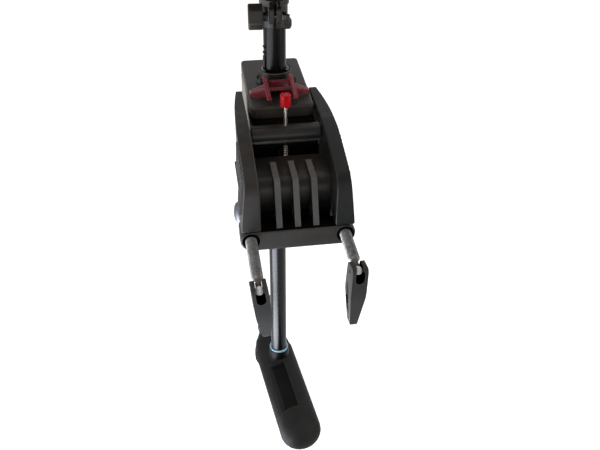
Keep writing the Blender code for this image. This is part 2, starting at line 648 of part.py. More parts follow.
def outboard_jaw():
    """The jaw outside the transom, its through bolt and nut, and the tilt sector that stands on it."""
    outline = filleted([
        (SLOT_OUTER_Y, JAW_TOP_Z, 0.003),
        (SLOT_OUTER_Y, OUTER_LEG_BOTTOM_Z, 0.004),
        (SLOT_OUTER_Y + JAW_THICKNESS, OUTER_LEG_BOTTOM_Z, 0.004),
        (SLOT_OUTER_Y + JAW_THICKNESS, JAW_TOP_Z, 0.003),
    ], steps=3)
    place = (0, JAW_BOLT_Y, JAW_BOLT_Z)
    jaw = prism("outboard_jaw", outline, -BETWEEN_PLATES, BETWEEN_PLATES, BLACK_PLASTIC)
    middle = SLOT_OUTER_Y + JAW_THICKNESS / 2
    web_back = SLOT_OUTER_Y + JAW_WEB_BACK
    web_front = web_back - JAW_WEB_THICKNESS
    web_outline = filleted([
        (middle, JAW_TOP_Z - JAW_WEB_THICKNESS, 0.0),
        (web_front, JAW_TOP_Z - JAW_WEB_THICKNESS, 0.003),
        (web_front, JAW_WEB_TOP_Z, 0.001),
        (web_back, JAW_WEB_TOP_Z, 0.001),
        (web_back, JAW_TOP_Z - 2 * JAW_WEB_THICKNESS, 0.006),
        (middle, JAW_TOP_Z - 2 * JAW_THICKNESS, 0.0),
    ], steps=2)
    for side in (-1, 1):
        low, high = sorted((side * JAW_WEB_SLOT, side * (BETWEEN_PLATES - SEAT_GAP)))
        join(jaw, prism(f"jaw_web_{side}", web_outline, low, high, None))
    join(jaw, rod("jaw_boss", JAW_BOSS_RADIUS, -BETWEEN_PLATES, BETWEEN_PLATES, None, "X", place, MEDIUM_ROUND))
    cut(jaw, rod("jaw_bolt_hole", JAW_BOLT_RADIUS + SEAT_GAP, -PLATE_OUTER_X, PLATE_OUTER_X, None, "X", place))

    under_head = -LEG_BOSS_X - SEAT_GAP
    nut_face = LEG_BOSS_X + SEAT_GAP
    bolt_end = nut_face + JAW_NUT_THICKNESS
    dome = [
        (JAW_DOME_RADIUS * math.cos(step * math.pi / 10), under_head - JAW_DOME_HEIGHT * math.sin(step * math.pi / 10))
        for step in range(6)
    ]
    dome[-1] = (0.0, dome[-1][1])
    profile = [(0.0, bolt_end), (JAW_BOLT_RADIUS, bolt_end), (JAW_BOLT_RADIUS, under_head)] + dome
    turned("jaw_bolt", profile, ZINC_STEEL, "X", place)
    hex_nut("jaw_nut", JAW_BOLT_RADIUS + SEAT_GAP, JAW_NUT_RADIUS, nut_face, bolt_end, ZINC_STEEL, "X", place)

    pivot = (PIVOT_Y, PIVOT_Z)
    down = -math.pi / 2
    inner = arc(pivot, SECTOR_INNER, down + SECTOR_START, down + SECTOR_END, 20)
    outer = arc(pivot, SECTOR_OUTER, down + SECTOR_END, down + SECTOR_START, 20)
    sector = prism("tilt_index_sector", inner + outer, -SECTOR_HALF_WIDTH, SECTOR_HALF_WIDTH, DARK_STEEL)
    for index in range(SECTOR_NOTCHES):
        angle = down + index * SECTOR_NOTCH_STEP
        notch_place = (0, PIVOT_Y + SECTOR_INNER * math.cos(angle), PIVOT_Z + SECTOR_INNER * math.sin(angle))
        cut(sector, rod(f"sector_notch_{index}", SECTOR_NOTCH_RADIUS, -SECTOR_HALF_WIDTH * 2, SECTOR_HALF_WIDTH * 2,
                        None, "X", notch_place, 12))
    return jaw


def clamp_set(side_name, side, pin_y, lean):
    """One clamp: swivel pad, screw with its flat tang, cross pin and folding handle."""
    axis = add_frame(side_name + "_screw_axis", (side * SCREW_X, pin_y, SCREW_Z), (0.0, lean, 0.0))
    neck = SCREW_RADIUS * 0.86
    profile = [
        (0.0, SCREW_REACH + SCREW_TIP_LENGTH),
        (SCREW_TIP_RADIUS, SCREW_REACH + SCREW_TIP_LENGTH),
        (SCREW_TIP_RADIUS, SCREW_REACH),
        (neck, SCREW_REACH),
        (SCREW_RADIUS, SCREW_REACH - SCREW_RADIUS + neck),
        (SCREW_RADIUS, TANG_LENGTH + SCREW_RADIUS - neck),
        (neck, TANG_LENGTH),
        (0.0, TANG_LENGTH),
    ]
    screw = turned(side_name + "_clamp_screw", profile, ZINC_STEEL, "Y", parent=axis)
    half = TANG_HEIGHT / 2
    tang_outline = arc((0, 0), half, math.pi / 2, 3 * math.pi / 2, 8)
    tang_outline += [(TANG_LENGTH + half, -half), (TANG_LENGTH + half, half)]
    join(screw, prism(side_name + "_tang", tang_outline, -TANG_WIDTH / 2, TANG_WIDTH / 2, None, parent=axis))
    pin_hole = HANDLE_PIN_RADIUS + SEAT_GAP
    cut(screw, rod(side_name + "_tang_hole", pin_hole, -HANDLE_WIDTH, HANDLE_WIDTH, None, "X", parent=axis))

    pad_back = SCREW_REACH + SEAT_GAP
    pad = rod(side_name + "_clamp_pad", PAD_RADIUS, pad_back, pad_back + PAD_THICKNESS, BLACK_PLASTIC, "Y",
              facets=MEDIUM_ROUND, parent=axis)
    soften(pad, 0.0015)
    cut(pad, rod(side_name + "_pad_socket", SCREW_TIP_RADIUS + RUNNING_GAP, SCREW_REACH - PAD_THICKNESS,
                 SCREW_REACH + SCREW_TIP_LENGTH + RUNNING_GAP, None, "Y", parent=axis))

    rod(side_name + "_handle_pin", HANDLE_PIN_RADIUS, -HANDLE_WIDTH / 2, HANDLE_WIDTH / 2, DARK_STEEL, "X",
        facets=12, parent=axis)
    clamp_handle(side_name, axis, pin_hole)


def clamp_handle(side_name, axis, pin_hole):
    """The folding paddle of a clamp screw: forked at the top, tapered to a round tip."""
    half = HANDLE_WIDTH / 2
    tip = HANDLE_TIP_WIDTH / 2
    depth = HANDLE_DEPTH / 2
    tip_depth = HANDLE_TIP_DEPTH / 2
    waist = -HANDLE_BELOW_PIN * 0.35
    front = filleted([
        (-half, HANDLE_ABOVE_PIN, 0.004), (half, HANDLE_ABOVE_PIN, 0.004), (half, waist, 0.020),
        (tip, -HANDLE_BELOW_PIN, tip), (-tip, -HANDLE_BELOW_PIN, tip), (-half, waist, 0.020),
    ])
    side_view = filleted([
        (-depth, HANDLE_ABOVE_PIN, 0.006), (depth, HANDLE_ABOVE_PIN, 0.006), (depth, waist, 0.040),
        (tip_depth, -HANDLE_BELOW_PIN, tip_depth), (-tip_depth, -HANDLE_BELOW_PIN, tip_depth), (-depth, waist, 0.040),
    ])
    handle = prism(side_name + "_clamp_handle", front, -HANDLE_DEPTH, HANDLE_DEPTH, BLACK_PLASTIC, "Y", axis)
    boolean(handle, prism(side_name + "_handle_side", side_view, -HANDLE_WIDTH, HANDLE_WIDTH, None, "X", axis),
            "INTERSECT")
    notch = TANG_WIDTH / 2 + HANDLE_SIDE_PLAY
    slot = rectangle(-notch, notch, -HANDLE_NOTCH_DEPTH, HANDLE_ABOVE_PIN * 2, 0.002, 2)
    hole = rod(side_name + "_handle_hole", pin_hole, -HANDLE_WIDTH, HANDLE_WIDTH, None, "X", parent=axis)
    return cut(handle, prism(side_name + "_fork_slot", slot, -HANDLE_DEPTH, HANDLE_DEPTH, None, "Y", axis), hole)


def tilt_head():
    """The part that tilts: cover with its steering cup, inner frame, hinge bar and the two sleeve bushes."""
    shaft = (0, SHAFT_Y, 0)
    plunger = (0, PIVOT_Y, 0)
    rod_hole = ROD_RADIUS + RUNNING_GAP

    outside = rectangle(-COVER_HALF_WIDTH, COVER_HALF_WIDTH, COVER_FRONT_Y, COVER_BACK_Y, COVER_CORNER)
    cover = prism("tilt_cover", outside, COVER_BOTTOM_Z, COVER_TOP_Z, BLACK_PLASTIC, "Z", crown=COVER_EDGE)
    inside = rectangle(COVER_WALL - COVER_HALF_WIDTH, COVER_HALF_WIDTH - COVER_WALL, COVER_FRONT_Y + COVER_WALL,
                       COVER_BACK_Y - COVER_WALL, COVER_CORNER - COVER_WALL)
    cut(cover, prism("cover_hollow", inside, 0.0, COVER_TOP_Z - COVER_WALL, None, "Z"))
    cup = [(0.0, CUP_TOP_Z), (CUP_RADIUS, CUP_TOP_Z), (CUP_RADIUS, COVER_TOP_Z + CUP_FOOT_HEIGHT),
           (CUP_FOOT_RADIUS, COVER_TOP_Z + CUP_FOOT_HEIGHT / 2), (CUP_FOOT_RADIUS, COVER_TOP_Z - COVER_WALL / 2),
           (0.0, COVER_TOP_Z - COVER_WALL / 2)]
    join(cover, turned("steering_cup", cup, None, "Z", shaft, LARGE_ROUND))
    cut(cover, rod("cup_bore", CUP_BORE, 0.0, CUP_TOP_Z * 2, None, "Z", shaft, LARGE_ROUND))
    pin_hole = LEVER_PIN_RADIUS + SEAT_GAP
    lug_inner = LEVER_RIB_X + LEVER_RIB_WIDTH / 2 + RUNNING_GAP
    lug_outline = arc((LEVER_PIVOT_Y, LEVER_PIVOT_Z), LEVER_LUG_RADIUS, 0, math.pi, 8)
    lug_outline += [(LEVER_PIVOT_Y - LEVER_LUG_RADIUS, COVER_TOP_Z - COVER_WALL / 2),
                    (LEVER_PIVOT_Y + LEVER_LUG_RADIUS, COVER_TOP_Z - COVER_WALL / 2)]
    for name, side in (("left", -1), ("right", 1)):
        low, high = sorted((side * lug_inner, side * (lug_inner + LEVER_LUG_WIDTH)))
        join(cover, prism(name + "_lever_lug", lug_outline, low, high, None))
    lug_outer = lug_inner + LEVER_LUG_WIDTH
    pivot = (0, LEVER_PIVOT_Y, LEVER_PIVOT_Z)
    cut(cover, rod("lug_hole", pin_hole, -COVER_HALF_WIDTH, COVER_HALF_WIDTH, None, "X", pivot))
    rod("lever_pin", LEVER_PIN_RADIUS, -lug_outer, lug_outer, DARK_STEEL, "X", pivot, 12)

    frame_half = COVER_HALF_WIDTH - COVER_WALL - SEAT_GAP
    frame_front = COVER_FRONT_Y + COVER_WALL + SEAT_GAP
    frame_back = COVER_BACK_Y - COVER_WALL - SEAT_GAP
    plan = rectangle(-frame_half, frame_half, frame_front, frame_back, COVER_CORNER - COVER_WALL)
    frame = prism("tilt_frame", plan, FRAME_SLAB_BOTTOM_Z, FRAME_TOP_Z, BLACK_PLASTIC, "Z")
    shelf_top = COVER_BOTTOM_Z - SEAT_GAP
    shelf_bottom = FRAME_SLAB_BOTTOM_Z + FRAME_STEP
    shelf_back = (COVER_FRONT_Y + SHAFT_Y) / 2
    shelf = filleted([
        (PIVOT_Y - FRAME_LIP_FRONT, FRAME_LIP_BOTTOM_Z, 0.0015),
        (PIVOT_Y + FRAME_LIP_BACK, FRAME_LIP_BOTTOM_Z, 0.004),
        (PIVOT_Y + FRAME_LIP_BACK + FRAME_LIP_HEIGHT, shelf_bottom, 0.004),
        (shelf_back, shelf_bottom, 0.0),
        (shelf_back, shelf_top, 0.0),
        (PIVOT_Y, shelf_top, 0.0),
        (PIVOT_Y, FRAME_LIP_BOTTOM_Z + FRAME_LIP_HEIGHT, 0.0),
        (PIVOT_Y - FRAME_LIP_FRONT, FRAME_LIP_BOTTOM_Z + FRAME_LIP_HEIGHT, 0.0015),
    ], steps=3)
    join(frame, prism("frame_shelf", shelf, -COVER_HALF_WIDTH, COVER_HALF_WIDTH, None))
    tube_top = (FRAME_SLAB_BOTTOM_Z + FRAME_TOP_Z) / 2
    join(frame, rod("guide_tube", GUIDE_BORE + GUIDE_TUBE_WALL, GUIDE_TUBE_BOTTOM_Z, tube_top, None, "Z", shaft,
                    MEDIUM_ROUND))
    bar_seat = rod("bar_seat", HINGE_BAR_RADIUS + SEAT_GAP, -PLATE_OUTER_X, PLATE_OUTER_X, None, "X",
                   (0, PIVOT_Y, PIVOT_Z), LARGE_ROUND)
    sleeve_bore = rod("sleeve_bore", GUIDE_BORE, GUIDE_TUBE_BOTTOM_Z * 2, COVER_TOP_Z * 2, None, "Z", shaft,
                      LARGE_ROUND)
    cut(frame, bar_seat, sleeve_bore, rod("frame_rod_hole", rod_hole, ROD_TIP_Z, PIVOT_Z, None, "Z", plunger))

    bar_end = BETWEEN_PLATES - HINGE_BAR_END_PLAY
    stub_end = BETWEEN_PLATES + HINGE_STUB_LENGTH - RUNNING_GAP
    profile = [(0.0, stub_end), (HINGE_STUB_RADIUS, stub_end), (HINGE_STUB_RADIUS, bar_end),
               (HINGE_BAR_RADIUS, bar_end), (HINGE_BAR_RADIUS, -bar_end), (HINGE_STUB_RADIUS, -bar_end),
               (HINGE_STUB_RADIUS, -stub_end), (0.0, -stub_end)]
    bar = turned("hinge_bar", profile, BLACK_PLASTIC, "X", (0, PIVOT_Y, PIVOT_Z), LARGE_ROUND)
    cut(bar, rod("bar_rod_hole", rod_hole, -PIVOT_Z, PIVOT_Z * 3, None, "Z", plunger))

    ring("upper_bush", SLEEVE_BORE, CUP_BORE - SEAT_GAP, FRAME_TOP_Z + SEAT_GAP, UPPER_BUSH_TOP_Z, BRONZE, "Z", shaft)
    ring("lower_bush", SLEEVE_BORE, SLEEVE_BORE + LOWER_BUSH_WALL, GUIDE_TUBE_BOTTOM_Z,
         GUIDE_TUBE_BOTTOM_Z + LOWER_BUSH_HEIGHT, BRONZE, "Z", shaft)


def spring_path(low, high):
    """The centre line of the release spring: closed flat ends, then a steady climb."""
    steps = SPRING_TURNS * SPRING_POINTS
    points = [
        Vector((SPRING_RADIUS * math.cos(math.tau * step / SPRING_POINTS),
                SPRING_RADIUS * math.sin(math.tau * step / SPRING_POINTS),
                low + (high - low) * step / steps))
        for step in range(steps + 1)
    ]
    lead_in = Vector((0.0, -SPRING_WIRE, 0.0))
    lead_out = Vector((0.0, SPRING_WIRE, 0.0))
    return [points[0] + lead_in] + points + [points[-1] + lead_out]


def least_gap(points):
    """The least distance between turns of the spring's wire, measured on its centre line's points."""
    apart = SPRING_POINTS // 2
    nearest = min(
        (points[first] - points[second]).length
        for first in range(len(points))
        for second in range(first + apart, len(points))
    )
    return nearest - SPRING_WIRE


def release_plunger():
    """The tilt release: pull knob, stepped rod with its flange, and the return spring."""
    axis = add_frame("release_axis", (0, PIVOT_Y, 0))
    knob_top = KNOB_BOTTOM_Z + KNOB_HEIGHT
    socket_top = KNOB_BOTTOM_Z + ROD_SOCKET + SEAT_GAP
    knob = [
        (0.0, knob_top - KNOB_DISH),
        (KNOB_RADIUS * 0.55, knob_top - KNOB_DISH),
        (KNOB_RADIUS * 0.75, knob_top),
        (KNOB_RADIUS * 0.92, knob_top),
        (KNOB_RADIUS, knob_top - KNOB_RADIUS * 0.1),
        (KNOB_RADIUS, KNOB_BOTTOM_Z + KNOB_RADIUS * 0.08),
        (KNOB_RADIUS * 0.94, KNOB_BOTTOM_Z),
        (ROD_RADIUS + SEAT_GAP, KNOB_BOTTOM_Z),
        (ROD_RADIUS + SEAT_GAP, socket_top),
        (0.0, socket_top),
    ]
    turned("release_knob", knob, RED_PLASTIC, "Z", parent=axis)

    rod_top = KNOB_BOTTOM_Z + ROD_SOCKET
    step_z = PIVOT_Z - HINGE_BAR_RADIUS
    flange_top = ROD_FLANGE_Z + ROD_FLANGE_HEIGHT
    profile = [
        (0.0, rod_top), (ROD_RADIUS, rod_top), (ROD_RADIUS, step_z), (ROD_TIP_RADIUS, step_z),
        (ROD_TIP_RADIUS, flange_top), (ROD_FLANGE_RADIUS, flange_top), (ROD_FLANGE_RADIUS, ROD_FLANGE_Z),
        (ROD_TIP_RADIUS, ROD_FLANGE_Z), (ROD_TIP_RADIUS, ROD_TIP_Z), (0.0, ROD_TIP_Z),
    ]
    turned("release_rod", profile, ZINC_STEEL, "Z", facets=SMALL_ROUND, parent=axis)

    half_wire = SPRING_WIRE / 2
    low = flange_top + SEAT_GAP + half_wire
    high = FRAME_LIP_BOTTOM_Z - SEAT_GAP - half_wire
    points = spring_path(low, high)
    print(f"release_spring: least gap between turns {least_gap(points) * 1000:.2f} mm")
    curve = bpy.data.curves.new("release_spring", "CURVE")
    curve.dimensions = "3D"
    curve.bevel_depth = half_wire
    curve.bevel_resolution = 1
    curve.use_fill_caps = True
    spline = curve.splines.new("POLY")
    spline.points.add(len(points) - 1)
    for point, place in zip(spline.points, points):
        point.co = (*place, 1.0)
    curve.materials.append(finish_material("release_spring_finish", ZINC_STEEL))
    spring = bpy.data.objects.new("release_spring", curve)
    spring.parent = axis
    bpy.context.scene.collection.objects.link(spring)


def lock_lever():
    """The steering lock lever: hinge barrel, two fore-and-aft ribs, dished bar and drooping wings."""
    axis = add_frame("lever_axis", (0, LEVER_PIVOT_Y, LEVER_PIVOT_Z))
    rib_outer = LEVER_RIB_X + LEVER_RIB_WIDTH / 2
    rib_inner = LEVER_RIB_X - LEVER_RIB_WIDTH / 2
    barrel = rod("steering_lock_lever", LEVER_BARREL_RADIUS, -rib_outer, rib_outer, MAROON_PLASTIC, "X",
                 facets=MEDIUM_ROUND, parent=axis)
    nose_top = LEVER_RIB_NOSE_HEIGHT - LEVER_RIB_NOSE_DROP
    rib_outline = filleted([
        (LEVER_BARREL_RADIUS * 0.8, -LEVER_BARREL_RADIUS * 0.5, 0.001),
        (LEVER_BARREL_RADIUS * 0.8, LEVER_RIB_BACK_HEIGHT, 0.002),
        (-LEVER_BARREL_RADIUS, LEVER_RIB_BACK_HEIGHT, 0.010),
        (-LEVER_RIB_LENGTH, nose_top, 0.002),
        (-LEVER_RIB_LENGTH, -LEVER_RIB_NOSE_DROP, 0.002),
        (-LEVER_BARREL_RADIUS * 2, -LEVER_BARREL_RADIUS * 0.5, 0.010),
    ], steps=3)
    bar_top = LEVER_BARREL_RADIUS * 0.6
    bar_outline = filleted([
        (0.0, bar_top, 0.0),
        (-LEVER_BAR_FRONT * 0.5, bar_top - LEVER_BAR_THICKNESS * 0.3, 0.010),
        (-LEVER_BAR_FRONT, bar_top, 0.001),
        (-LEVER_BAR_FRONT, bar_top - LEVER_BAR_THICKNESS, 0.001),
        (0.0, bar_top - LEVER_BAR_THICKNESS, 0.0),
    ], steps=3)
    join(barrel, prism("lever_bar", bar_outline, -LEVER_RIB_X, LEVER_RIB_X, None, parent=axis))
    for name, side in (("left", -1), ("right", 1)):
        low, high = sorted((side * rib_inner, side * rib_outer))
        join(barrel, prism(name + "_lever_rib", rib_outline, low, high, None, parent=axis))
        wing_root = LEVER_RIB_X
        droop = LEVER_WING_SLOPE
        wing_outline = [(side * x, z) for x, z in (
            (wing_root, bar_top), (LEVER_WING_X, bar_top - droop),
            (LEVER_WING_X, bar_top - droop - LEVER_WING_THICKNESS), (wing_root, bar_top - LEVER_WING_THICKNESS))]
        join(barrel, prism(name + "_lever_wing", wing_outline, -LEVER_WING_FRONT, -LEVER_WING_BACK, None, "Y", axis))
    cut(barrel, rod("lever_bore", LEVER_PIN_RADIUS + RUNNING_GAP, -COVER_HALF_WIDTH, COVER_HALF_WIDTH, None, "X",
                    parent=axis))


def steering_sleeve():
    """The steering sleeve, its end bush and the split depth collar with its clamp knob."""
    axis = add_frame("steering_axis", (0, SHAFT_Y, 0))
    shoulder_z = UPPER_BUSH_TOP_Z + RUNNING_GAP
    shoulder_top = shoulder_z + SLEEVE_SHOULDER_HEIGHT
    shoulder = CUP_BORE - SEAT_GAP * 2
    bush_top = SLEEVE_BOTTOM_Z + END_BUSH_HEIGHT
    profile = [
        (SHAFT_BORE, SLEEVE_TOP_Z), (SLEEVE_RADIUS, SLEEVE_TOP_Z), (SLEEVE_RADIUS, shoulder_top),
        (shoulder, shoulder_top), (shoulder, shoulder_z), (SLEEVE_RADIUS, shoulder_z),
        (SLEEVE_RADIUS, SLEEVE_BOTTOM_Z), (SHAFT_BORE, SLEEVE_BOTTOM_Z),
    ]
    turned("steering_sleeve", profile, GLOSS_BLACK, "Z", facets=LARGE_ROUND, parent=axis)
    cap = [
        (SLEEVE_RADIUS + SEAT_GAP, bush_top), (SLEEVE_RADIUS + SEAT_GAP + END_BUSH_WALL, bush_top),
        (SLEEVE_RADIUS + SEAT_GAP + END_BUSH_WALL, SLEEVE_BOTTOM_Z - END_BUSH_WALL - SEAT_GAP),
        (SHAFT_BORE, SLEEVE_BOTTOM_Z - END_BUSH_WALL - SEAT_GAP), (SHAFT_BORE, SLEEVE_BOTTOM_Z - SEAT_GAP),
        (SLEEVE_RADIUS + SEAT_GAP, SLEEVE_BOTTOM_Z - SEAT_GAP),
    ]
    turned("sleeve_end_bush", cap, BLACK_PLASTIC, "Z", facets=LARGE_ROUND, parent=axis)
    depth_collar()


def depth_collar():
    """The split collar that clamps the shaft, with its cross screw, nut and hand knob."""
    axis = add_frame("collar_axis", (0, SHAFT_Y, 0), (0, 0, COLLAR_YAW))
    flange_z = COLLAR_BOTTOM_Z + COLLAR_FLANGE_LIFT
    flange_top = flange_z + COLLAR_FLANGE_HEIGHT
    lip_z = COLLAR_TOP_Z - COLLAR_LIP_HEIGHT
    sleeve_seat = SLEEVE_RADIUS + SEAT_GAP
    seat_top = SLEEVE_TOP_Z + SEAT_GAP
    profile = [
        (SHAFT_BORE, COLLAR_TOP_Z), (COLLAR_LIP_RADIUS, COLLAR_TOP_Z), (COLLAR_LIP_RADIUS, lip_z),
        (COLLAR_RADIUS, lip_z), (COLLAR_RADIUS, flange_top), (COLLAR_FLANGE_RADIUS, flange_top),
        (COLLAR_FLANGE_RADIUS, flange_z), (COLLAR_RADIUS, flange_z), (COLLAR_RADIUS, COLLAR_BOTTOM_Z),
        (sleeve_seat, COLLAR_BOTTOM_Z), (sleeve_seat, seat_top), (SHAFT_BORE, seat_top),
    ]
    collar = turned("depth_collar", profile, BLACK_PLASTIC, "Z", facets=LARGE_ROUND, parent=axis)
    screw_z = COLLAR_BOTTOM_Z + EAR_SCREW_LIFT
    ear_low = screw_z - EAR_HEIGHT / 2
    ear_back = -(SLEEVE_RADIUS + COLLAR_RADIUS) / 2
    ears = rectangle(-EAR_REACH, ear_back, ear_low, ear_low + EAR_HEIGHT, 0.005, 3)
    join(collar, prism("collar_ears", ears, -EAR_HALF_WIDTH, EAR_HALF_WIDTH, None, parent=axis))
    slit = rectangle(-EAR_REACH * 2, 0.0, COLLAR_BOTTOM_Z - COLLAR_HEIGHT, COLLAR_TOP_Z + COLLAR_HEIGHT, 0.0)
    place = (0, -EAR_SCREW_REACH, screw_z)
    screw_hole = COLLAR_SCREW_RADIUS + SEAT_GAP
    bore = [(0.0, COLLAR_TOP_Z * 2), (SHAFT_BORE, COLLAR_TOP_Z * 2), (SHAFT_BORE, seat_top), (sleeve_seat, seat_top),
            (sleeve_seat, 0.0), (0.0, 0.0)]
    cut(collar, turned("collar_bore", bore, None, "Z", facets=LARGE_ROUND, parent=axis))
    cut(collar, prism("collar_slit", slit, -COLLAR_SLIT / 2, COLLAR_SLIT / 2, None, parent=axis))
    cut(collar, rod("ear_hole", screw_hole, -EAR_REACH, EAR_REACH, None, "X", place, parent=axis))

    nut_face = EAR_HALF_WIDTH + SEAT_GAP
    nut_end = nut_face + COLLAR_NUT_THICKNESS
    hex_nut("collar_nut", screw_hole, COLLAR_NUT_RADIUS, nut_face, nut_end, DARK_STEEL, "X", place, axis)
    neck_face = -EAR_HALF_WIDTH - SEAT_GAP
    knob_face = neck_face - COLLAR_KNOB_NECK
    knob_end = knob_face - COLLAR_KNOB_LENGTH
    screw_end = knob_face - COLLAR_KNOB_LENGTH / 2
    rod("collar_screw", COLLAR_SCREW_RADIUS, screw_end, nut_end + COLLAR_SCREW_PROUD, ZINC_STEEL, "X", place,
        parent=axis)
    corners = [COLLAR_KNOB_TURN + math.tau * index / COLLAR_KNOB_SIDES for index in range(COLLAR_KNOB_SIDES)]
    outline = [(place[1] + COLLAR_KNOB_RADIUS * math.cos(angle), place[2] + COLLAR_KNOB_RADIUS * math.sin(angle))
               for angle in corners]
    knob = prism("collar_knob", outline, knob_end, knob_face, BLACK_PLASTIC, "X", axis)
    soften(knob, COLLAR_KNOB_EDGE, 3)
    join(knob, rod("knob_neck", COLLAR_KNOB_NECK_RADIUS, knob_face - COLLAR_KNOB_LENGTH / 3, neck_face, None, "X",
                   place, parent=axis))
    cut(knob, rod("knob_socket", screw_hole, screw_end - SEAT_GAP, EAR_HALF_WIDTH, None, "X", place, parent=axis))


def main_shaft_and_pod():
    """The composite shaft and the motor pod with its neck ring, nose cone and end bell."""
    axis = add_frame("depth_axis", (0, SHAFT_Y, 0), (0, 0, POD_YAW))
    shaft_bottom = POD_AXIS_Z + POD_RADIUS - SHAFT_IN_POD
    ring("main_shaft", SHAFT_RADIUS - SHAFT_WALL, SHAFT_RADIUS, shaft_bottom, SHAFT_TOP_Z, GLOSS_BLACK, "Z",
         facets=LARGE_ROUND, parent=axis)
    seat = SHAFT_RADIUS + SEAT_GAP
    ring_z = POD_NECK_TOP_Z + SEAT_GAP
    ring("neck_ring", seat, NECK_RING_RADIUS, ring_z, ring_z + NECK_RING_HEIGHT, BLUE_RUBBER, "Z",
         facets=LARGE_ROUND, parent=axis)

    pod = (0, 0, POD_AXIS_Z)
    housing = ring("pod_housing", POD_BORE, POD_RADIUS, -POD_FRONT, POD_BACK, BLACK_PLASTIC, "Y", pod, LARGE_ROUND,
                   axis)
    neck = rod("pod_neck", POD_NECK_RADIUS, POD_AXIS_Z + POD_BORE + POD_WALL / 2, POD_NECK_TOP_Z, None, "Z",
               facets=MEDIUM_ROUND, parent=axis)
    fin_top = -POD_BORE - POD_WALL / 2
    fin = filleted([
        (-SKEG_FRONT, POD_AXIS_Z + fin_top, 0.0),
        (SKEG_BACK - SKEG_TIP_LENGTH, POD_AXIS_Z - POD_RADIUS - SKEG_DROP, 0.008),
        (SKEG_BACK, POD_AXIS_Z - POD_RADIUS - SKEG_DROP, 0.006),
        (SKEG_BACK, POD_AXIS_Z + fin_top, 0.0),
    ])
    join(housing, neck, prism("skeg", fin, -SKEG_THICKNESS / 2, SKEG_THICKNESS / 2, None, parent=axis))
    recess = rectangle(-RECESS_HALF_WIDTH, RECESS_HALF_WIDTH, RECESS_FRONT_MARGIN - POD_FRONT, -RECESS_BACK, 0.004, 3)
    floor_z = POD_AXIS_Z + POD_RADIUS - RECESS_DEPTH
    cut(housing, prism("recess", recess, floor_z, POD_AXIS_Z + POD_RADIUS * 2, None, "Z", axis))
    cut(housing, rod("shaft_socket", seat, POD_AXIS_Z, 0.0, None, "Z", facets=LARGE_ROUND, parent=axis))

    nose_face = -POD_FRONT - SEAT_GAP
    round_start = nose_face - NOSE_STRAIGHT
    pocket = BEARING_RADIUS + SEAT_GAP
    bearing_end = nose_face - BEARING_WIDTH - SEAT_GAP
    nose = [
        (POD_RADIUS * math.cos(step * math.pi / 16), round_start - NOSE_LENGTH * math.sin(step * math.pi / 16))
        for step in range(8)
    ]
    tip_pocket = bearing_end - MOTOR_SHAFT_RADIUS
    profile = [(0.0, tip_pocket), (MOTOR_BORE, tip_pocket), (MOTOR_BORE, bearing_end), (pocket, bearing_end),
               (pocket, nose_face), (POD_RADIUS, nose_face)] + nose + [(0.0, round_start - NOSE_LENGTH)]
    turned("nose_cone", profile, BLACK_PLASTIC, "Y", pod, LARGE_ROUND, axis)
    ring("front_bearing", MOTOR_BORE, BEARING_RADIUS, bearing_end + SEAT_GAP, nose_face, DARK_STEEL, "Y", pod,
         parent=axis)

    bell_face = POD_BACK + SEAT_GAP
    hollow_end = bell_face + END_BELL_LENGTH * 0.2
    rear_pocket = hollow_end + BEARING_WIDTH + SEAT_GAP
    seal_seat = END_BELL_BACK - SEAL_WIDTH - SEAT_GAP * 2
    profile = [
        (POD_BORE, bell_face), (POD_RADIUS, bell_face),
        (POD_RADIUS * 0.98, bell_face + END_BELL_LENGTH * 0.35),
        (POD_RADIUS * 0.88, bell_face + END_BELL_LENGTH * 0.65),
        (POD_RADIUS * 0.68, bell_face + END_BELL_LENGTH * 0.90),
        (END_BELL_TAIL_RADIUS, END_BELL_BACK),
        (SEAL_RADIUS + SEAT_GAP, END_BELL_BACK), (SEAL_RADIUS + SEAT_GAP, seal_seat), (MOTOR_BORE, seal_seat),
        (MOTOR_BORE, rear_pocket), (pocket, rear_pocket), (pocket, hollow_end), (POD_BORE, hollow_end),
    ]
    turned("end_bell", profile, BLACK_PLASTIC, "Y", pod, LARGE_ROUND, axis)
    ring("rear_bearing", MOTOR_BORE, BEARING_RADIUS, hollow_end, rear_pocket - SEAT_GAP, DARK_STEEL, "Y", pod,
         parent=axis)
    ring("shaft_seal", MOTOR_BORE, SEAL_RADIUS, seal_seat + SEAT_GAP, END_BELL_BACK - SEAT_GAP, RUBBER, "Y", pod,
         parent=axis)
    motor_inside(axis, bearing_end)
    return axis


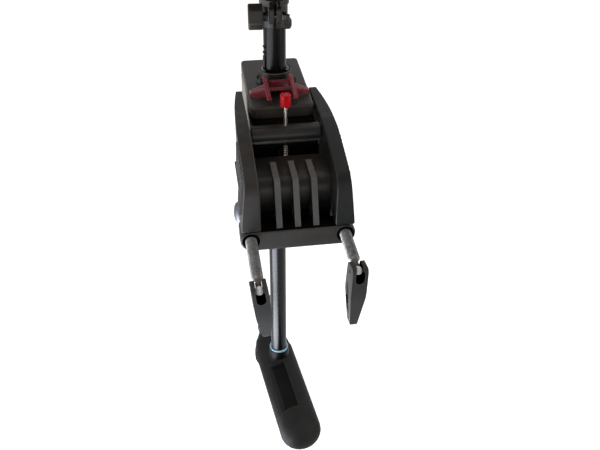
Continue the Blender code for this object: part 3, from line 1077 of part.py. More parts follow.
def motor_inside(axis, bearing_end):
    """The permanent-magnet motor: magnets and brush plate on the pod, armature and shaft that turn."""
    pod = (0, 0, POD_AXIS_Z)
    magnet_outer = POD_BORE - SEAT_GAP
    magnet_inner = magnet_outer - MAGNET_THICKNESS
    front = -POD_FRONT + MAGNET_FRONT_MARGIN
    back = front + MAGNET_LENGTH
    for name, middle in (("left_magnet", math.pi), ("right_magnet", 0.0)):
        low = middle - MAGNET_ARC / 2
        high = middle + MAGNET_ARC / 2
        outline = arc((0, POD_AXIS_Z), magnet_outer, low, high, 10) + arc((0, POD_AXIS_Z), magnet_inner, high, low, 10)
        prism(name, outline, front, back, FERRITE, "Y", axis)

    armature_front = (front + back - ARMATURE_LENGTH) / 2
    armature_back = armature_front + ARMATURE_LENGTH
    rotor = add_frame("rotor_axis", pod, (0, PROP_REST_ANGLE, 0), axis)
    ring("armature", MOTOR_BORE, magnet_inner - ARMATURE_GAP, armature_front, armature_back, COPPER, "Y",
         facets=LARGE_ROUND, parent=rotor)
    commutator_front = armature_back + COMMUTATOR_SPACING
    ring("commutator", MOTOR_BORE, COMMUTATOR_RADIUS, commutator_front, commutator_front + COMMUTATOR_LENGTH, COPPER,
         "Y", parent=rotor)
    plate_front = commutator_front + COMMUTATOR_LENGTH / 2
    ring("brush_plate", COMMUTATOR_RADIUS + RUNNING_GAP, POD_BORE - SEAT_GAP, plate_front,
         plate_front + BRUSH_PLATE_THICKNESS, BRONZE, "Y", pod, LARGE_ROUND, axis)

    shaft_front = bearing_end - MOTOR_SHAFT_RADIUS + SEAT_GAP
    shaft = rod("motor_shaft", MOTOR_SHAFT_RADIUS, shaft_front, MOTOR_SHAFT_BACK, ZINC_STEEL, "Y", parent=rotor)
    pin_place = (0, PROP_FRONT + DRIVE_PIN_SETBACK, 0)
    half = DRIVE_PIN_LENGTH / 2
    rod("drive_pin", DRIVE_PIN_RADIUS, -half, half, DARK_STEEL, "X", pin_place, 12, rotor)
    hole = DRIVE_PIN_RADIUS + SEAT_GAP
    cut(shaft, rod("pin_hole", hole, -half, half, None, "X", pin_place, 12, rotor))
    propeller(rotor, pin_place, hole)


def blade_mesh(index):
    """One twisted propeller blade, lofted through sections from the hub to the tip."""
    bm = bmesh.new()
    stations = 7
    middle = PROP_FRONT + PROP_HUB_LENGTH / 2
    turn = Matrix.Rotation(math.tau * index / PROP_BLADES, 3, "Y")
    loops = []
    for station in range(stations + 1):
        share = station / stations
        radius = PROP_HUB_RADIUS * 0.6 + (PROP_RADIUS - PROP_HUB_RADIUS * 0.6) * share
        swell = PROP_ROOT_CHORD + (PROP_MID_CHORD - PROP_ROOT_CHORD) * math.sin(math.pi * min(share, 0.5))
        chord = swell if share < 0.5 else PROP_MID_CHORD + (PROP_TIP_CHORD - PROP_MID_CHORD) * (2 * share - 1) ** 2
        pitch = PROP_ROOT_PITCH + (PROP_TIP_PITCH - PROP_ROOT_PITCH) * math.sqrt(share)
        thick = PROP_BLADE_THICKNESS * (1 - 0.6 * share)
        loop = []
        for step in range(8):
            angle = math.tau * step / 8
            along = chord / 2 * math.cos(angle)
            across = thick / 2 * math.sin(angle)
            x = along * math.cos(pitch) - across * math.sin(pitch)
            y = middle + along * math.sin(pitch) + across * math.cos(pitch)
            loop.append(bm.verts.new(turn @ Vector((x, y, radius))))
        loops.append(loop)
    for lower, upper in zip(loops, loops[1:]):
        for step in range(8):
            following = (step + 1) % 8
            bm.faces.new((lower[step], lower[following], upper[following], upper[step]))
    bm.faces.new(loops[0])
    bm.faces.new(loops[-1])
    return bm


def propeller(rotor, pin_place, pin_hole):
    """The propeller with its hub, drive-pin slot and the nut that holds it."""
    hub = [
        (MOTOR_BORE, PROP_FRONT), (PROP_HUB_RADIUS * 0.9, PROP_FRONT),
        (PROP_HUB_RADIUS, PROP_FRONT + PROP_HUB_LENGTH * 0.15),
        (PROP_HUB_RADIUS * 0.95, PROP_FRONT + PROP_HUB_LENGTH * 0.75), (PROP_HUB_RADIUS * 0.75, PROP_BACK),
        (MOTOR_BORE, PROP_BACK),
    ]
    wheel = turned("propeller", hub, BLACK_PLASTIC, "Y", parent=rotor)
    for index in range(PROP_BLADES):
        join(wheel, add_solid(f"blade_{index}", blade_mesh(index), None, rotor))
    reach = DRIVE_PIN_LENGTH / 2 + SEAT_GAP
    cut(wheel, rod("hub_bore", MOTOR_BORE, PROP_FRONT - PROP_HUB_LENGTH, PROP_BACK * 2, None, "Y", parent=rotor))
    cut(wheel, rod("hub_pin_slot", pin_hole, -reach, reach, None, "X", pin_place, 12, rotor))
    nut_face = PROP_BACK + SEAT_GAP
    hex_nut("prop_nut", MOTOR_BORE, PROP_NUT_RADIUS, nut_face, nut_face + PROP_NUT_THICKNESS, ZINC_STEEL, "Y",
            parent=rotor)


def control_head(axis):
    """The control head on top of the shaft: base with its tiller lugs, cover, speed switch and cable gland."""
    plan = rectangle(-HEAD_HALF_WIDTH, HEAD_HALF_WIDTH, -HEAD_FRONT, HEAD_BACK, HEAD_CORNER)
    room = rectangle(HEAD_WALL - HEAD_HALF_WIDTH, HEAD_HALF_WIDTH - HEAD_WALL, HEAD_WALL - HEAD_FRONT,
                     HEAD_BACK - HEAD_WALL, HEAD_CORNER - HEAD_WALL)
    floor_z = HEAD_BOTTOM_Z + HEAD_WALL
    base = prism("head_base", plan, HEAD_BOTTOM_Z, HEAD_SPLIT_Z, BLACK_PLASTIC, "Z", axis)
    cut(base, prism("base_room", room, floor_z, HEAD_SPLIT_Z * 2, None, "Z", axis))
    seat = SHAFT_RADIUS + SEAT_GAP
    join(base, rod("head_socket", seat + HEAD_SOCKET_WALL, HEAD_BOTTOM_Z, HEAD_BOTTOM_Z + HEAD_SOCKET_HEIGHT, None, "Z",
                   facets=MEDIUM_ROUND, parent=axis))
    cut(base, rod("head_bore", seat, 0.0, HEAD_SPLIT_Z * 2, None, "Z", facets=LARGE_ROUND, parent=axis))
    half_root = TILLER_ROOT_WIDTH / 2
    lug = arc((TILLER_PIN_Y, TILLER_PIN_Z), TILLER_LUG_RADIUS, math.pi / 2, 3 * math.pi / 2, 8)
    lug += [(-HEAD_FRONT + HEAD_WALL / 2, TILLER_PIN_Z - TILLER_LUG_RADIUS),
            (-HEAD_FRONT + HEAD_WALL / 2, TILLER_PIN_Z + TILLER_LUG_RADIUS)]
    lug_inner = half_root + RUNNING_GAP
    lug_outer = lug_inner + TILLER_LUG_WIDTH
    for name, side in (("left", -1), ("right", 1)):
        low, high = sorted((side * lug_inner, side * lug_outer))
        join(base, prism(name + "_tiller_lug", lug, low, high, None, parent=axis))
    pin_place = (0, TILLER_PIN_Y, TILLER_PIN_Z)
    cut(base, rod("lug_pin_hole", TILLER_PIN_RADIUS + SEAT_GAP, -HEAD_HALF_WIDTH, HEAD_HALF_WIDTH, None, "X", pin_place,
                  parent=axis))
    gland_z = HEAD_BOTTOM_Z + GLAND_LIFT
    gland_place = (0, 0, gland_z)
    cut(base, rod("gland_hole", GLAND_RADIUS + SEAT_GAP, 0.0, HEAD_BACK * 2, None, "Y", gland_place, parent=axis))

    cover_z = HEAD_SPLIT_Z + SEAT_GAP
    cover_top = cover_z + HEAD_COVER_HEIGHT
    cover = prism("head_cover", plan, cover_z, cover_top, BLACK_PLASTIC, "Z", axis, HEAD_EDGE)
    cut(cover, prism("cover_room", room, 0.0, cover_top - HEAD_WALL, None, "Z", axis))

    switch_front = -HEAD_FRONT + HEAD_WALL + SEAT_GAP
    switch = rectangle(switch_front, switch_front + SWITCH_LENGTH, floor_z + SEAT_GAP, floor_z + SEAT_GAP + SWITCH_HEIGHT,
                       0.002, 2)
    prism("speed_switch", switch, -SWITCH_HALF_WIDTH, SWITCH_HALF_WIDTH, GREY_PLASTIC, "X", axis)
    flange_face = HEAD_BACK + SEAT_GAP
    gland = [
        (GLAND_BORE_RADIUS, HEAD_BACK - HEAD_WALL), (GLAND_RADIUS, HEAD_BACK - HEAD_WALL), (GLAND_RADIUS, flange_face),
        (GLAND_FLANGE_RADIUS, flange_face), (GLAND_FLANGE_RADIUS, flange_face + GLAND_FLANGE),
        (GLAND_RADIUS, flange_face + GLAND_FLANGE), (GLAND_BORE_RADIUS * 1.4, flange_face + GLAND_LENGTH),
        (GLAND_BORE_RADIUS, flange_face + GLAND_LENGTH),
    ]
    turned("cable_gland", gland, RUBBER, "Y", gland_place, SMALL_ROUND, axis)
    tiller(axis, pin_place, lug_outer)


def tiller(axis, pin_place, lug_outer):
    """The tiller arm on its cross pin, with the twist grip round its spigot."""
    hinge = add_frame("tiller_axis", pin_place, (-TILLER_REST_ANGLE, 0, 0), axis)
    rod("tiller_pin", TILLER_PIN_RADIUS, -lug_outer, lug_outer, DARK_STEEL, "X", parent=hinge)
    knuckle = TILLER_LUG_RADIUS - RUNNING_GAP
    arm_end = -TILLER_LENGTH
    spigot_end = arm_end - GRIP_LENGTH * 0.9
    arm = [
        (0.0, -knuckle * 0.5), (TILLER_RADIUS, -knuckle * 0.5), (TILLER_RADIUS, arm_end), (GRIP_SPIGOT_RADIUS, arm_end),
        (GRIP_SPIGOT_RADIUS, spigot_end), (0.0, spigot_end),
    ]
    beam = turned("tiller_arm", arm, BLACK_PLASTIC, "Y", facets=MEDIUM_ROUND, parent=hinge)
    join(beam, rod("tiller_knuckle", knuckle, -TILLER_ROOT_WIDTH / 2, TILLER_ROOT_WIDTH / 2, None, "X",
                   facets=MEDIUM_ROUND, parent=hinge))
    cut(beam, rod("knuckle_bore", TILLER_PIN_RADIUS + RUNNING_GAP, -TILLER_ROOT_WIDTH, TILLER_ROOT_WIDTH, None, "X",
                  parent=hinge))
    grip_face = arm_end - SEAT_GAP
    grip_end = grip_face - GRIP_LENGTH
    bore = GRIP_SPIGOT_RADIUS + RUNNING_GAP
    bore_end = spigot_end - RUNNING_GAP
    grip = [
        (0.0, bore_end), (bore, bore_end), (bore, grip_face), (GRIP_RADIUS * 0.95, grip_face),
        (GRIP_RADIUS, grip_face - GRIP_LENGTH * 0.08), (GRIP_RADIUS * 0.93, grip_face - GRIP_LENGTH * 0.3),
        (GRIP_RADIUS * 0.93, grip_face - GRIP_LENGTH * 0.8), (GRIP_RADIUS, grip_face - GRIP_LENGTH * 0.95),
        (GRIP_RADIUS * 0.9, grip_end), (0.0, grip_end),
    ]
    turned("twist_grip", grip, RUBBER, "Y", facets=MEDIUM_ROUND, parent=hinge)


def main():
    """Builds the whole motor."""
    clear_scene()
    side_plate("left_side_plate", -1)
    side_plate("right_side_plate", 1)
    ribbed_saddle()
    clamp_crossbar()
    outboard_jaw()
    clamp_set("left", -1, LEFT_PIN_Y, LEFT_LEAN)
    clamp_set("right", 1, RIGHT_PIN_Y, RIGHT_LEAN)
    tilt_head()
    release_plunger()
    lock_lever()
    steering_sleeve()
    axis = main_shaft_and_pod()
    control_head(axis)


main()
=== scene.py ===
"""Looks of a transom-mount trolling motor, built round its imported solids.

Metres, +Z up, +Y outboard and +X to the right of someone in the boat who faces the motor. Each
sub-assembly is a class that models its pieces and dresses them; the studio sets floor, lamps and camera.
"""

import json
import logging
import math
from dataclasses import dataclass
from enum import Enum
from typing import Any, Callable, Sequence

import bpy
from mathutils import Matrix, Vector


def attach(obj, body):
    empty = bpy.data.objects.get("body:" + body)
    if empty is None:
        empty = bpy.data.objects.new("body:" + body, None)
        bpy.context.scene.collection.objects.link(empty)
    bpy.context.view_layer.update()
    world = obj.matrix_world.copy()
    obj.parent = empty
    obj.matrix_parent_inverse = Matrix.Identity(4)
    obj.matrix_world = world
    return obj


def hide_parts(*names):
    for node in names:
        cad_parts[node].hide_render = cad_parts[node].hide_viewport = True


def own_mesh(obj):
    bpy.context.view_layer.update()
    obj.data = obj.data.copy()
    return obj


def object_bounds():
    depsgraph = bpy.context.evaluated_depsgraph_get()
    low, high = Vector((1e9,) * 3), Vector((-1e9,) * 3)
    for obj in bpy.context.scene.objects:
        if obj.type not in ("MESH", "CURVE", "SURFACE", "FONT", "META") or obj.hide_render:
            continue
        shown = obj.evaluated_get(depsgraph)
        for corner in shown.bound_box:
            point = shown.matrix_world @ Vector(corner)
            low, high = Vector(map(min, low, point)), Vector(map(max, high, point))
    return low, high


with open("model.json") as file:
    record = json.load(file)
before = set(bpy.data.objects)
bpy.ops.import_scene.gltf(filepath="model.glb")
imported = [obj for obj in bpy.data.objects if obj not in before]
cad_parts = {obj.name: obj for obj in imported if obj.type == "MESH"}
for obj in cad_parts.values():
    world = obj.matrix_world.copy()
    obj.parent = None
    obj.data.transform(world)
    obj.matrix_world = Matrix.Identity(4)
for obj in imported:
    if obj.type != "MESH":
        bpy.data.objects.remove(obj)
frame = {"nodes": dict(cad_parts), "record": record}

LOG = logging.getLogger("trolling_motor")
CAD_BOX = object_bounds()
SHAFT_Y = 0.160
SHAFT_FOOT = (0.0, SHAFT_Y, 0.0)
LEVER_PIVOT = (0.0, 0.130, 0.068)
LEVER_BORE = 0.0027
THROUGH = (-0.05, 0.05)
# Small margins, for clearances and for telling which surface a face lies on.
HAIR = 0.0002
TRACE = 0.0001
# Parts of the noise's swing that patches, grain and dust take, how edges show, and the black of painted shade.
PATCH_SWING = (0.38, 0.66)
GRAIN_SWING = (0.3, 0.7)
DUST_SWING = (0.62, 0.78)
DUST_MM = 2.4
EDGE_SWING = (0.985, 0.80)
EDGE_RADIUS = 0.0011
PAINTED_SHADE_BLACK = "#020202"

# Short names for types.
Point = Sequence[float]
Pair = tuple[float, float]
Triple = tuple[float, float, float]
Outline = list[Pair]
Corners = tuple[Triple, ...]
Piece = bpy.types.Object
Face = bpy.types.MeshPolygon
Tree = bpy.types.NodeTree
Socket = bpy.types.NodeSocket


def linear(colour: str) -> tuple[float, float, float, float]:
    """Turns an sRGB hex colour to linear light.

    Args:
        colour: six hex digits after a hash sign.

    Returns:
        Red, green and blue in linear light, and an alpha of one.
    """
    shares = [int(colour[place:place + 2], 16) / 255 for place in (1, 3, 5)]
    red, green, blue = (s / 12.92 if s <= 0.04045 else ((s + 0.055) / 1.055) ** 2.4 for s in shares)
    return red, green, blue, 1.0


def add_node(tree: Tree, kind: str, values: dict[Any, Any] | None = None,
             links: dict[Any, Socket] | None = None, **settings: Any) -> bpy.types.Node:
    """Adds a shader node with its settings, values and links.

    Args:
        tree: the node tree it goes into.
        kind: the node's type name.
        values: plain values by input.
        links: sockets by the input they feed.
        **settings: the node's own properties.

    Returns:
        The new node.
    """
    node = tree.nodes.new(kind)
    for key, value in settings.items():
        setattr(node, key, value)
    for key, value in (values or {}).items():
        node.inputs[key].default_value = value
    for key, socket in (links or {}).items():
        tree.links.new(socket, node.inputs[key])
    return node


def per_metre(millimetres: float) -> float:
    """Returns the noise scale whose features are about this many millimetres wide."""
    return 1000.0 / millimetres


@dataclass(frozen=True)
class Finish:
    """A surface: its real material's name, its colours and how rough it is.

    tint is the second colour that patches of patch_mm drift to; grain_mm and grain_depth give the
    relief; wear is how far edges go to worn_colour; the last field gives the heights in metres between
    which painted shade takes the surface from black to its own colour, darker towards the bottom.
    """

    name: str
    colour: str
    tint: str
    roughness: float
    patch_mm: float = 22.0
    patch_share: float = 0.5
    grain_mm: float = 0.9
    grain_depth: float = 0.00005
    grain_stretch: Triple = (1.0, 1.0, 1.0)
    rough_swing: float = 0.08
    wear: float = 0.0
    worn_colour: str = "#5c5a57"
    metallic: float = 0.0
    ior: float = 1.46
    specks: float = 0.0
    speck_colour: str = "#8d8a84"
    soot: Pair | None = None

    def material(self) -> bpy.types.Material:
        """Returns the finish's material, made once."""
        return bpy.data.materials.get(self.name) or self._make()

    def _make(self) -> bpy.types.Material:
        """Builds the node tree of the finish.

        Returns:
            The new material.
        """
        material = bpy.data.materials.new(self.name)
        material.use_nodes = True
        tree = material.node_tree
        shader = tree.nodes["Principled BSDF"]
        shader.inputs["Metallic"].default_value = self.metallic
        if self.metallic < 0.5:
            shader.inputs["IOR"].default_value = self.ior
        place = add_node(tree, "ShaderNodeTexCoord").outputs["Object"]
        patches = add_node(tree, "ShaderNodeTexNoise", {"Scale": per_metre(self.patch_mm), "Detail": 4.0},
                           {"Vector": place})
        drift = add_node(tree, "ShaderNodeMapRange",
                         {"From Min": PATCH_SWING[0], "From Max": PATCH_SWING[1], "To Max": self.patch_share},
                         {"Value": patches.outputs["Fac"]})
        colour = add_node(tree, "ShaderNodeMixRGB", {"Color1": linear(self.colour), "Color2": linear(self.tint)},
                          {"Fac": drift.outputs["Result"]}).outputs["Color"]
        stretched = add_node(tree, "ShaderNodeMapping", {"Scale": self.grain_stretch}, {"Vector": place})
        grain = add_node(tree, "ShaderNodeTexNoise", {"Scale": per_metre(self.grain_mm), "Detail": 3.0},
                         {"Vector": stretched.outputs["Vector"]}).outputs["Fac"]
        if self.specks > 0:
            dust = add_node(tree, "ShaderNodeTexNoise",
                            {"Scale": per_metre(DUST_MM), "Detail": 5.0, "Roughness": 0.7}, {"Vector": place})
            strewn = add_node(tree, "ShaderNodeMapRange",
                              {"From Min": DUST_SWING[0], "From Max": DUST_SWING[1], "To Max": self.specks},
                              {"Value": dust.outputs["Fac"]})
            colour = add_node(tree, "ShaderNodeMixRGB", {"Color2": linear(self.speck_colour)},
                              {"Fac": strewn.outputs["Result"], "Color1": colour}).outputs["Color"]
        # Painted shade: the colour goes to black below the given heights.
        if self.soot:
            height = add_node(tree, "ShaderNodeSeparateXYZ", None, {"Vector": place}).outputs["Z"]
            unshaded = add_node(tree, "ShaderNodeMapRange", {"From Min": self.soot[0], "From Max": self.soot[1]},
                             {"Value": height}, interpolation_type="SMOOTHSTEP")
            colour = add_node(tree, "ShaderNodeMixRGB", {"Color1": linear(PAINTED_SHADE_BLACK)},
                              {"Fac": unshaded.outputs["Result"], "Color2": colour}).outputs["Color"]
        if self.wear > 0:
            colour = add_node(tree, "ShaderNodeMixRGB", {"Color2": linear(self.worn_colour)},
                              {"Fac": self._edges(tree, grain), "Color1": colour}).outputs["Color"]
        rough = add_node(tree, "ShaderNodeMapRange",
                         {"From Min": GRAIN_SWING[0], "From Max": GRAIN_SWING[1],
                          "To Min": self.roughness - self.rough_swing, "To Max": self.roughness + self.rough_swing},
                         {"Value": grain})
        relief = add_node(tree, "ShaderNodeBump", {"Strength": 1.0, "Distance": self.grain_depth}, {"Height": grain})
        tree.links.new(colour, shader.inputs["Base Color"])
        tree.links.new(rough.outputs["Result"], shader.inputs["Roughness"])
        tree.links.new(relief.outputs["Normal"], shader.inputs["Normal"])
        return material

    def _edges(self, tree: Tree, grain: Socket) -> Socket:
        """Finds the rubbed edges of a piece.

        Args:
            tree: the node tree.
            grain: the noise that breaks the edges up.

        Returns:
            How far each place is an edge.
        """
        soft = add_node(tree, "ShaderNodeBevel", {"Radius": EDGE_RADIUS}, samples=4).outputs["Normal"]
        flat = add_node(tree, "ShaderNodeNewGeometry").outputs["Normal"]
        facing = add_node(tree, "ShaderNodeVectorMath", None, {0: soft, 1: flat}, operation="DOT_PRODUCT")
        edge = add_node(tree, "ShaderNodeMapRange",
                        {"From Min": EDGE_SWING[0], "From Max": EDGE_SWING[1], "To Max": self.wear},
                        {"Value": facing.outputs["Value"]}).outputs["Result"]
        return add_node(tree, "ShaderNodeMath", None, {0: edge, 1: grain}, operation="MULTIPLY").outputs["Value"]


# Glass-filled nylon, moulded in a spark-eroded tool: soft sheen, a fine matt grain, browned by sun and dust.
BLACK_NYLON = Finish("moulded_nylon_black", "#141210", "#2a2019", 0.50, ior=1.27, wear=0.75, specks=0.12)
# The same nylon, tinted brown, on the left cheek as the lit copy beside the right cheek's painted shade.
BROWNED_LIT_NYLON = Finish("moulded_nylon_sunned", "#14110e", "#261d16", 0.54, ior=1.25, wear=0.6, specks=0.15)
# The same nylon painted nearly black as shade, on the right cheek and round the clamp screws.
SHADOW_NYLON = Finish("moulded_nylon_dark", "#080807", "#13100e", 0.52, ior=1.22, wear=0.6, specks=0.12)
# The same nylon rubbed grey by handling, on the paddles.
RUBBED_NYLON = Finish("moulded_nylon_rubbed", "#1b1b1b", "#242424", 0.55, ior=1.25, wear=0.8, worn_colour="#6e6d6a",
                      specks=0.15)
# The same nylon on ribs, rims and sides, chafed and painted palest where light catches them.
CHAFED_LIT_NYLON = Finish("moulded_nylon_chafed", "#434342", "#4d4c4a", 0.60, patch_mm=12.0, ior=1.25, wear=0.3,
                      worn_colour="#6e6d6a", specks=0.15)
# The same nylon on the tops of the ribs, browned by dust and painted lighter as lit from above.
DUSTY_LIT_NYLON = Finish("moulded_nylon_dusty", "#403d39", "#4f4b46", 0.62, patch_mm=5.0, ior=1.2, wear=0.4, specks=0.25)
# The same nylon painted pale as lit from the left, on the collar's ears and gusset.
LIT_FLANK_NYLON = Finish("moulded_nylon_bloomed", "#6a6a69", "#7c7b78", 0.60, patch_mm=4.0, ior=1.25, specks=0.2)
# Die-cast aluminium gone dull and chalky, painted pale as lit from the left, on the sides of the tilting frame.
CHALKED_LIT_ALUMINIUM = Finish("aluminium_chalked", "#85817b", "#97918a", 0.62, patch_mm=9.0, ior=1.3, wear=0.3,
                           worn_colour="#7d6a55", specks=0.1)
# Polished face of a moulding, which keeps a wet-looking sheen over brown grime.
SLEEK_NYLON = Finish("moulded_nylon_sleek", "#131211", "#261e18", 0.34, ior=1.26, wear=0.4, specks=0.1)
# Inner faces of the mouldings, painted black as shade and without sheen.
SHADE_BLACK_NYLON = Finish("moulded_nylon_grimy", "#050504", "#0b0907", 0.65, ior=1.02, wear=0.15, specks=0.05)
# The saddle's web: sleek on top, painted black as shade low down.
WEB_NYLON = Finish("moulded_nylon_web", "#141210", "#23180f", 0.36, patch_mm=9.0, ior=1.27, wear=0.2, specks=0.12,
                   soot=(-0.036, -0.006))
# Pultruded composite tube: near black, glossy, with faint lengthwise draw lines.
COMPOSITE_TUBE = Finish("pultruded_composite_black", "#0b0b0c", "#121213", 0.25, grain_mm=1.6, grain_depth=0.000004,
                        grain_stretch=(1.0, 1.0, 0.03), rough_swing=0.04, ior=1.22)
# Extruded sleeve tube: near black, satin, with lengthwise die lines.
SATIN_TUBE = Finish("extruded_tube_satin", "#030303", "#070707", 0.28, grain_mm=1.6, grain_depth=0.000008,
                    grain_stretch=(1.0, 1.0, 0.03), rough_swing=0.05, ior=1.17)
# Satin paint on a die-cast housing: slight orange peel, pale rubs on the edges.
POD_PAINT = Finish("satin_paint_black", "#222222", "#2a2a28", 0.50, grain_mm=1.4, grain_depth=0.00004, ior=1.07,
                   wear=0.5, specks=0.08)
# The same paint on the floor of the pod's recess, painted darker as shade.
RECESS_SHADE_PAINT = Finish("satin_paint_recess", "#0c0c0c", "#121211", 0.50, grain_mm=1.4, grain_depth=0.00004, ior=1.12)
# The same paint on the pod's neck, polished by handling.
NECK_PAINT = Finish("satin_paint_neck", "#0b0b0c", "#121213", 0.36, grain_mm=1.4, grain_depth=0.00002, ior=1.12)
# Maroon polypropylene, moulded and satin, with edges rubbed pale pink.
MAROON_PLASTIC = Finish("moulded_polypropylene_maroon", "#551019", "#6c202a", 0.38, patch_mm=9.0, ior=1.25, wear=1.0,
                        worn_colour="#b87c82", specks=0.2, speck_colour="#9a5f66")
# The same maroon rubbed pale, on the ridges under the fingers.
PINKED_PLASTIC = Finish("moulded_polypropylene_pinked", "#8d4f55", "#a5696d", 0.45, patch_mm=3.0, ior=1.27)
# The same maroon in the hollows, painted dark as shade.
SHADED_PLASTIC = Finish("moulded_polypropylene_shaded", "#34090f", "#430f17", 0.32, patch_mm=6.0, ior=1.33,
                        specks=0.2, speck_colour="#7a4a4e")
# Red polypropylene pull knob, satin gloss.
RED_PLASTIC = Finish("moulded_polypropylene_red", "#980010", "#b60c17", 0.36, patch_mm=6.0, ior=1.15, wear=0.6,
                     worn_colour="#e2604c", grain_stretch=(1.0, 1.0, 0.15))
# Sun-bleached dish in the top of the pull knob.
FADED_RED = Finish("moulded_polypropylene_faded", "#743430", "#8c4a44", 0.5, patch_mm=3.0)
# Pale blue elastomer ring, smooth and slightly waxy.
BLUE_ELASTOMER = Finish("elastomer_pale_blue", "#7ba4ba", "#93b6c6", 0.42, patch_mm=5.0)
# Zinc plate on rolled thread, dulled: grey bloom with darker blotches.
ZINC_PLATE = Finish("zinc_plated_steel", "#565655", "#3b3a38", 0.48, patch_mm=6.0, patch_share=0.8, grain_mm=0.6,
                    rough_swing=0.12, metallic=1.0)
# Zinc plate kept bright, on the domed bolt and the washers.
POLISHED_ZINC = Finish("zinc_plated_steel_bright", "#535458", "#414143", 0.55, patch_mm=5.0, grain_mm=0.5,
                       metallic=1.0)
# White zinc bloom on the screws' ball ends.
ZINC_BLOOM = Finish("zinc_bloom_white", "#c9c8c5", "#aeaca8", 0.6, patch_mm=2.0, grain_mm=0.5)
# Zinc gone dull brown on the necks of the screws, where no hand rubs it.
DULLED_ZINC = Finish("zinc_plated_steel_dull", "#544c46", "#3d3530", 0.66, patch_mm=2.5, grain_mm=0.5, ior=1.12)
# Bright drawn wire and turned rod.
BRIGHT_STEEL = Finish("bright_drawn_steel", "#c4bfb6", "#9b948a", 0.28, patch_mm=2.5, grain_mm=0.4,
                      grain_depth=0.00001, metallic=1.0)
# Spring wire, painted pale beige as the glints on its coils.
PALE_GLINT_WIRE = Finish("phosphated_spring_wire", "#bdb3a0", "#8f8674", 0.5, patch_mm=1.5, grain_mm=0.4,
                     grain_depth=0.00001)
# Blackened and oiled steel; on the plunger's thin rod inside the spring it stands for shade.
DARK_STEEL = Finish("blackened_steel", "#3a3836", "#2a2724", 0.45, patch_mm=4.0, metallic=1.0)
# Plain bearing bronze.
BRONZE = Finish("bearing_bronze", "#b08a52", "#8f6a3a", 0.38, patch_mm=5.0, metallic=1.0)
# Copper windings and bars.
COPPER = Finish("copper_windings", "#b8704a", "#94522f", 0.36, patch_mm=3.0, grain_mm=1.2, metallic=1.0)
# Pressed and sintered ferrite.
FERRITE = Finish("sintered_ferrite", "#3a3a3c", "#2c2c2e", 0.7, patch_mm=4.0)
# Nylon bearing ring, off-white and dusty.
PALE_NYLON = Finish("bearing_nylon_pale", "#4e4a44", "#5c5750", 0.55, patch_mm=6.0, specks=0.3)
# Soft black nitrile rubber, dull and grippy.
NITRILE = Finish("nitrile_rubber_black", "#171717", "#211f1d", 0.74, grain_mm=0.7, grain_depth=0.00008, ior=1.35)


class Side(Enum):
    """The two sides of the motor, by the sign of X."""

    LEFT = -1
    RIGHT = 1

    @property
    def label(self) -> str:
        """The side's name as the CAD nodes spell it."""
        return self.name.lower()

    def span(self, near: float, far: float) -> list[float]:
        """Returns two distances from the middle as places on this side, the lower first."""
        return sorted((self.value * near, self.value * far))

    def mirror(self, outline: Outline) -> Outline:
        """Returns an outline drawn on the right with its first axis turned to this side."""
        return [(self.value * u, v) for u, v in outline]


class Axis(Enum):
    """A row axis, as its direction."""

    X = (1.0, 0.0, 0.0)
    Y = (0.0, 1.0, 0.0)
    Z = (0.0, 0.0, 1.0)

    def spun(self, centre: Point, radius: float, height: float) -> Vector:
        """Returns the place of a lathe profile's point about this axis."""
        offsets = {"X": (height, radius, 0.0), "Y": (radius, height, 0.0), "Z": (radius, 0.0, height)}
        return Vector(centre) + Vector(offsets[self.name])

    def flat(self, u: float, v: float, along: float) -> Vector:
        """Returns the place of an outline's point on a plane across this axis."""
        places = {"X": (along, u, v), "Y": (u, along, v), "Z": (u, v, along)}
        return Vector(places[self.name])


def turned(degrees: float, axis: Axis) -> Matrix:
    """Returns a turn about an axis through the origin."""
    return Matrix.Rotation(math.radians(degrees), 4, axis.name)


def on_shaft(degrees: float) -> Matrix:
    """Returns a frame on the shaft's axis, turned about it."""
    return Matrix.Translation(SHAFT_FOOT) @ turned(degrees, Axis.Z)


def rounded(corners: Sequence[Triple], steps: int = 6) -> Outline:
    """Rounds an outline's corners.

    Args:
        corners: u, v and the radius of each corner.
        steps: points on each round.

    Returns:
        The outline's points.
    """
    outline: Outline = []
    for index, (u, v, radius) in enumerate(corners):
        corner = Vector((u, v))
        before = Vector(corners[index - 1][:2]) - corner
        after = Vector(corners[(index + 1) % len(corners)][:2]) - corner
        reach = min(radius / math.tan(before.angle(after) / 2), 0.49 * before.length, 0.49 * after.length)
        if reach < 1e-5:
            outline.append((u, v))
            continue
        start = corner + before.normalized() * reach
        end = corner + after.normalized() * reach
        for step in range(steps + 1):
            share = step / steps
            outline.append(tuple(start.lerp(corner, share).lerp(corner.lerp(end, share), share)))
    return outline


def block(low_u: float, high_u: float, low_v: float, high_v: float, radius: float, steps: int = 6) -> Outline:
    """Returns a rectangle's outline with rounded corners."""
    return rounded([(low_u, low_v, radius), (high_u, low_v, radius), (high_u, high_v, radius),
                    (low_u, high_v, radius)], steps)


def arc(centre: Pair, radius: float, start: float, end: float, steps: int) -> Outline:
    """Returns the points of an arc, with angles in degrees from the first axis."""
    turns = [math.radians(start + (end - start) * step / steps) for step in range(steps + 1)]
    return [(centre[0] + radius * math.cos(turn), centre[1] + radius * math.sin(turn)) for turn in turns]


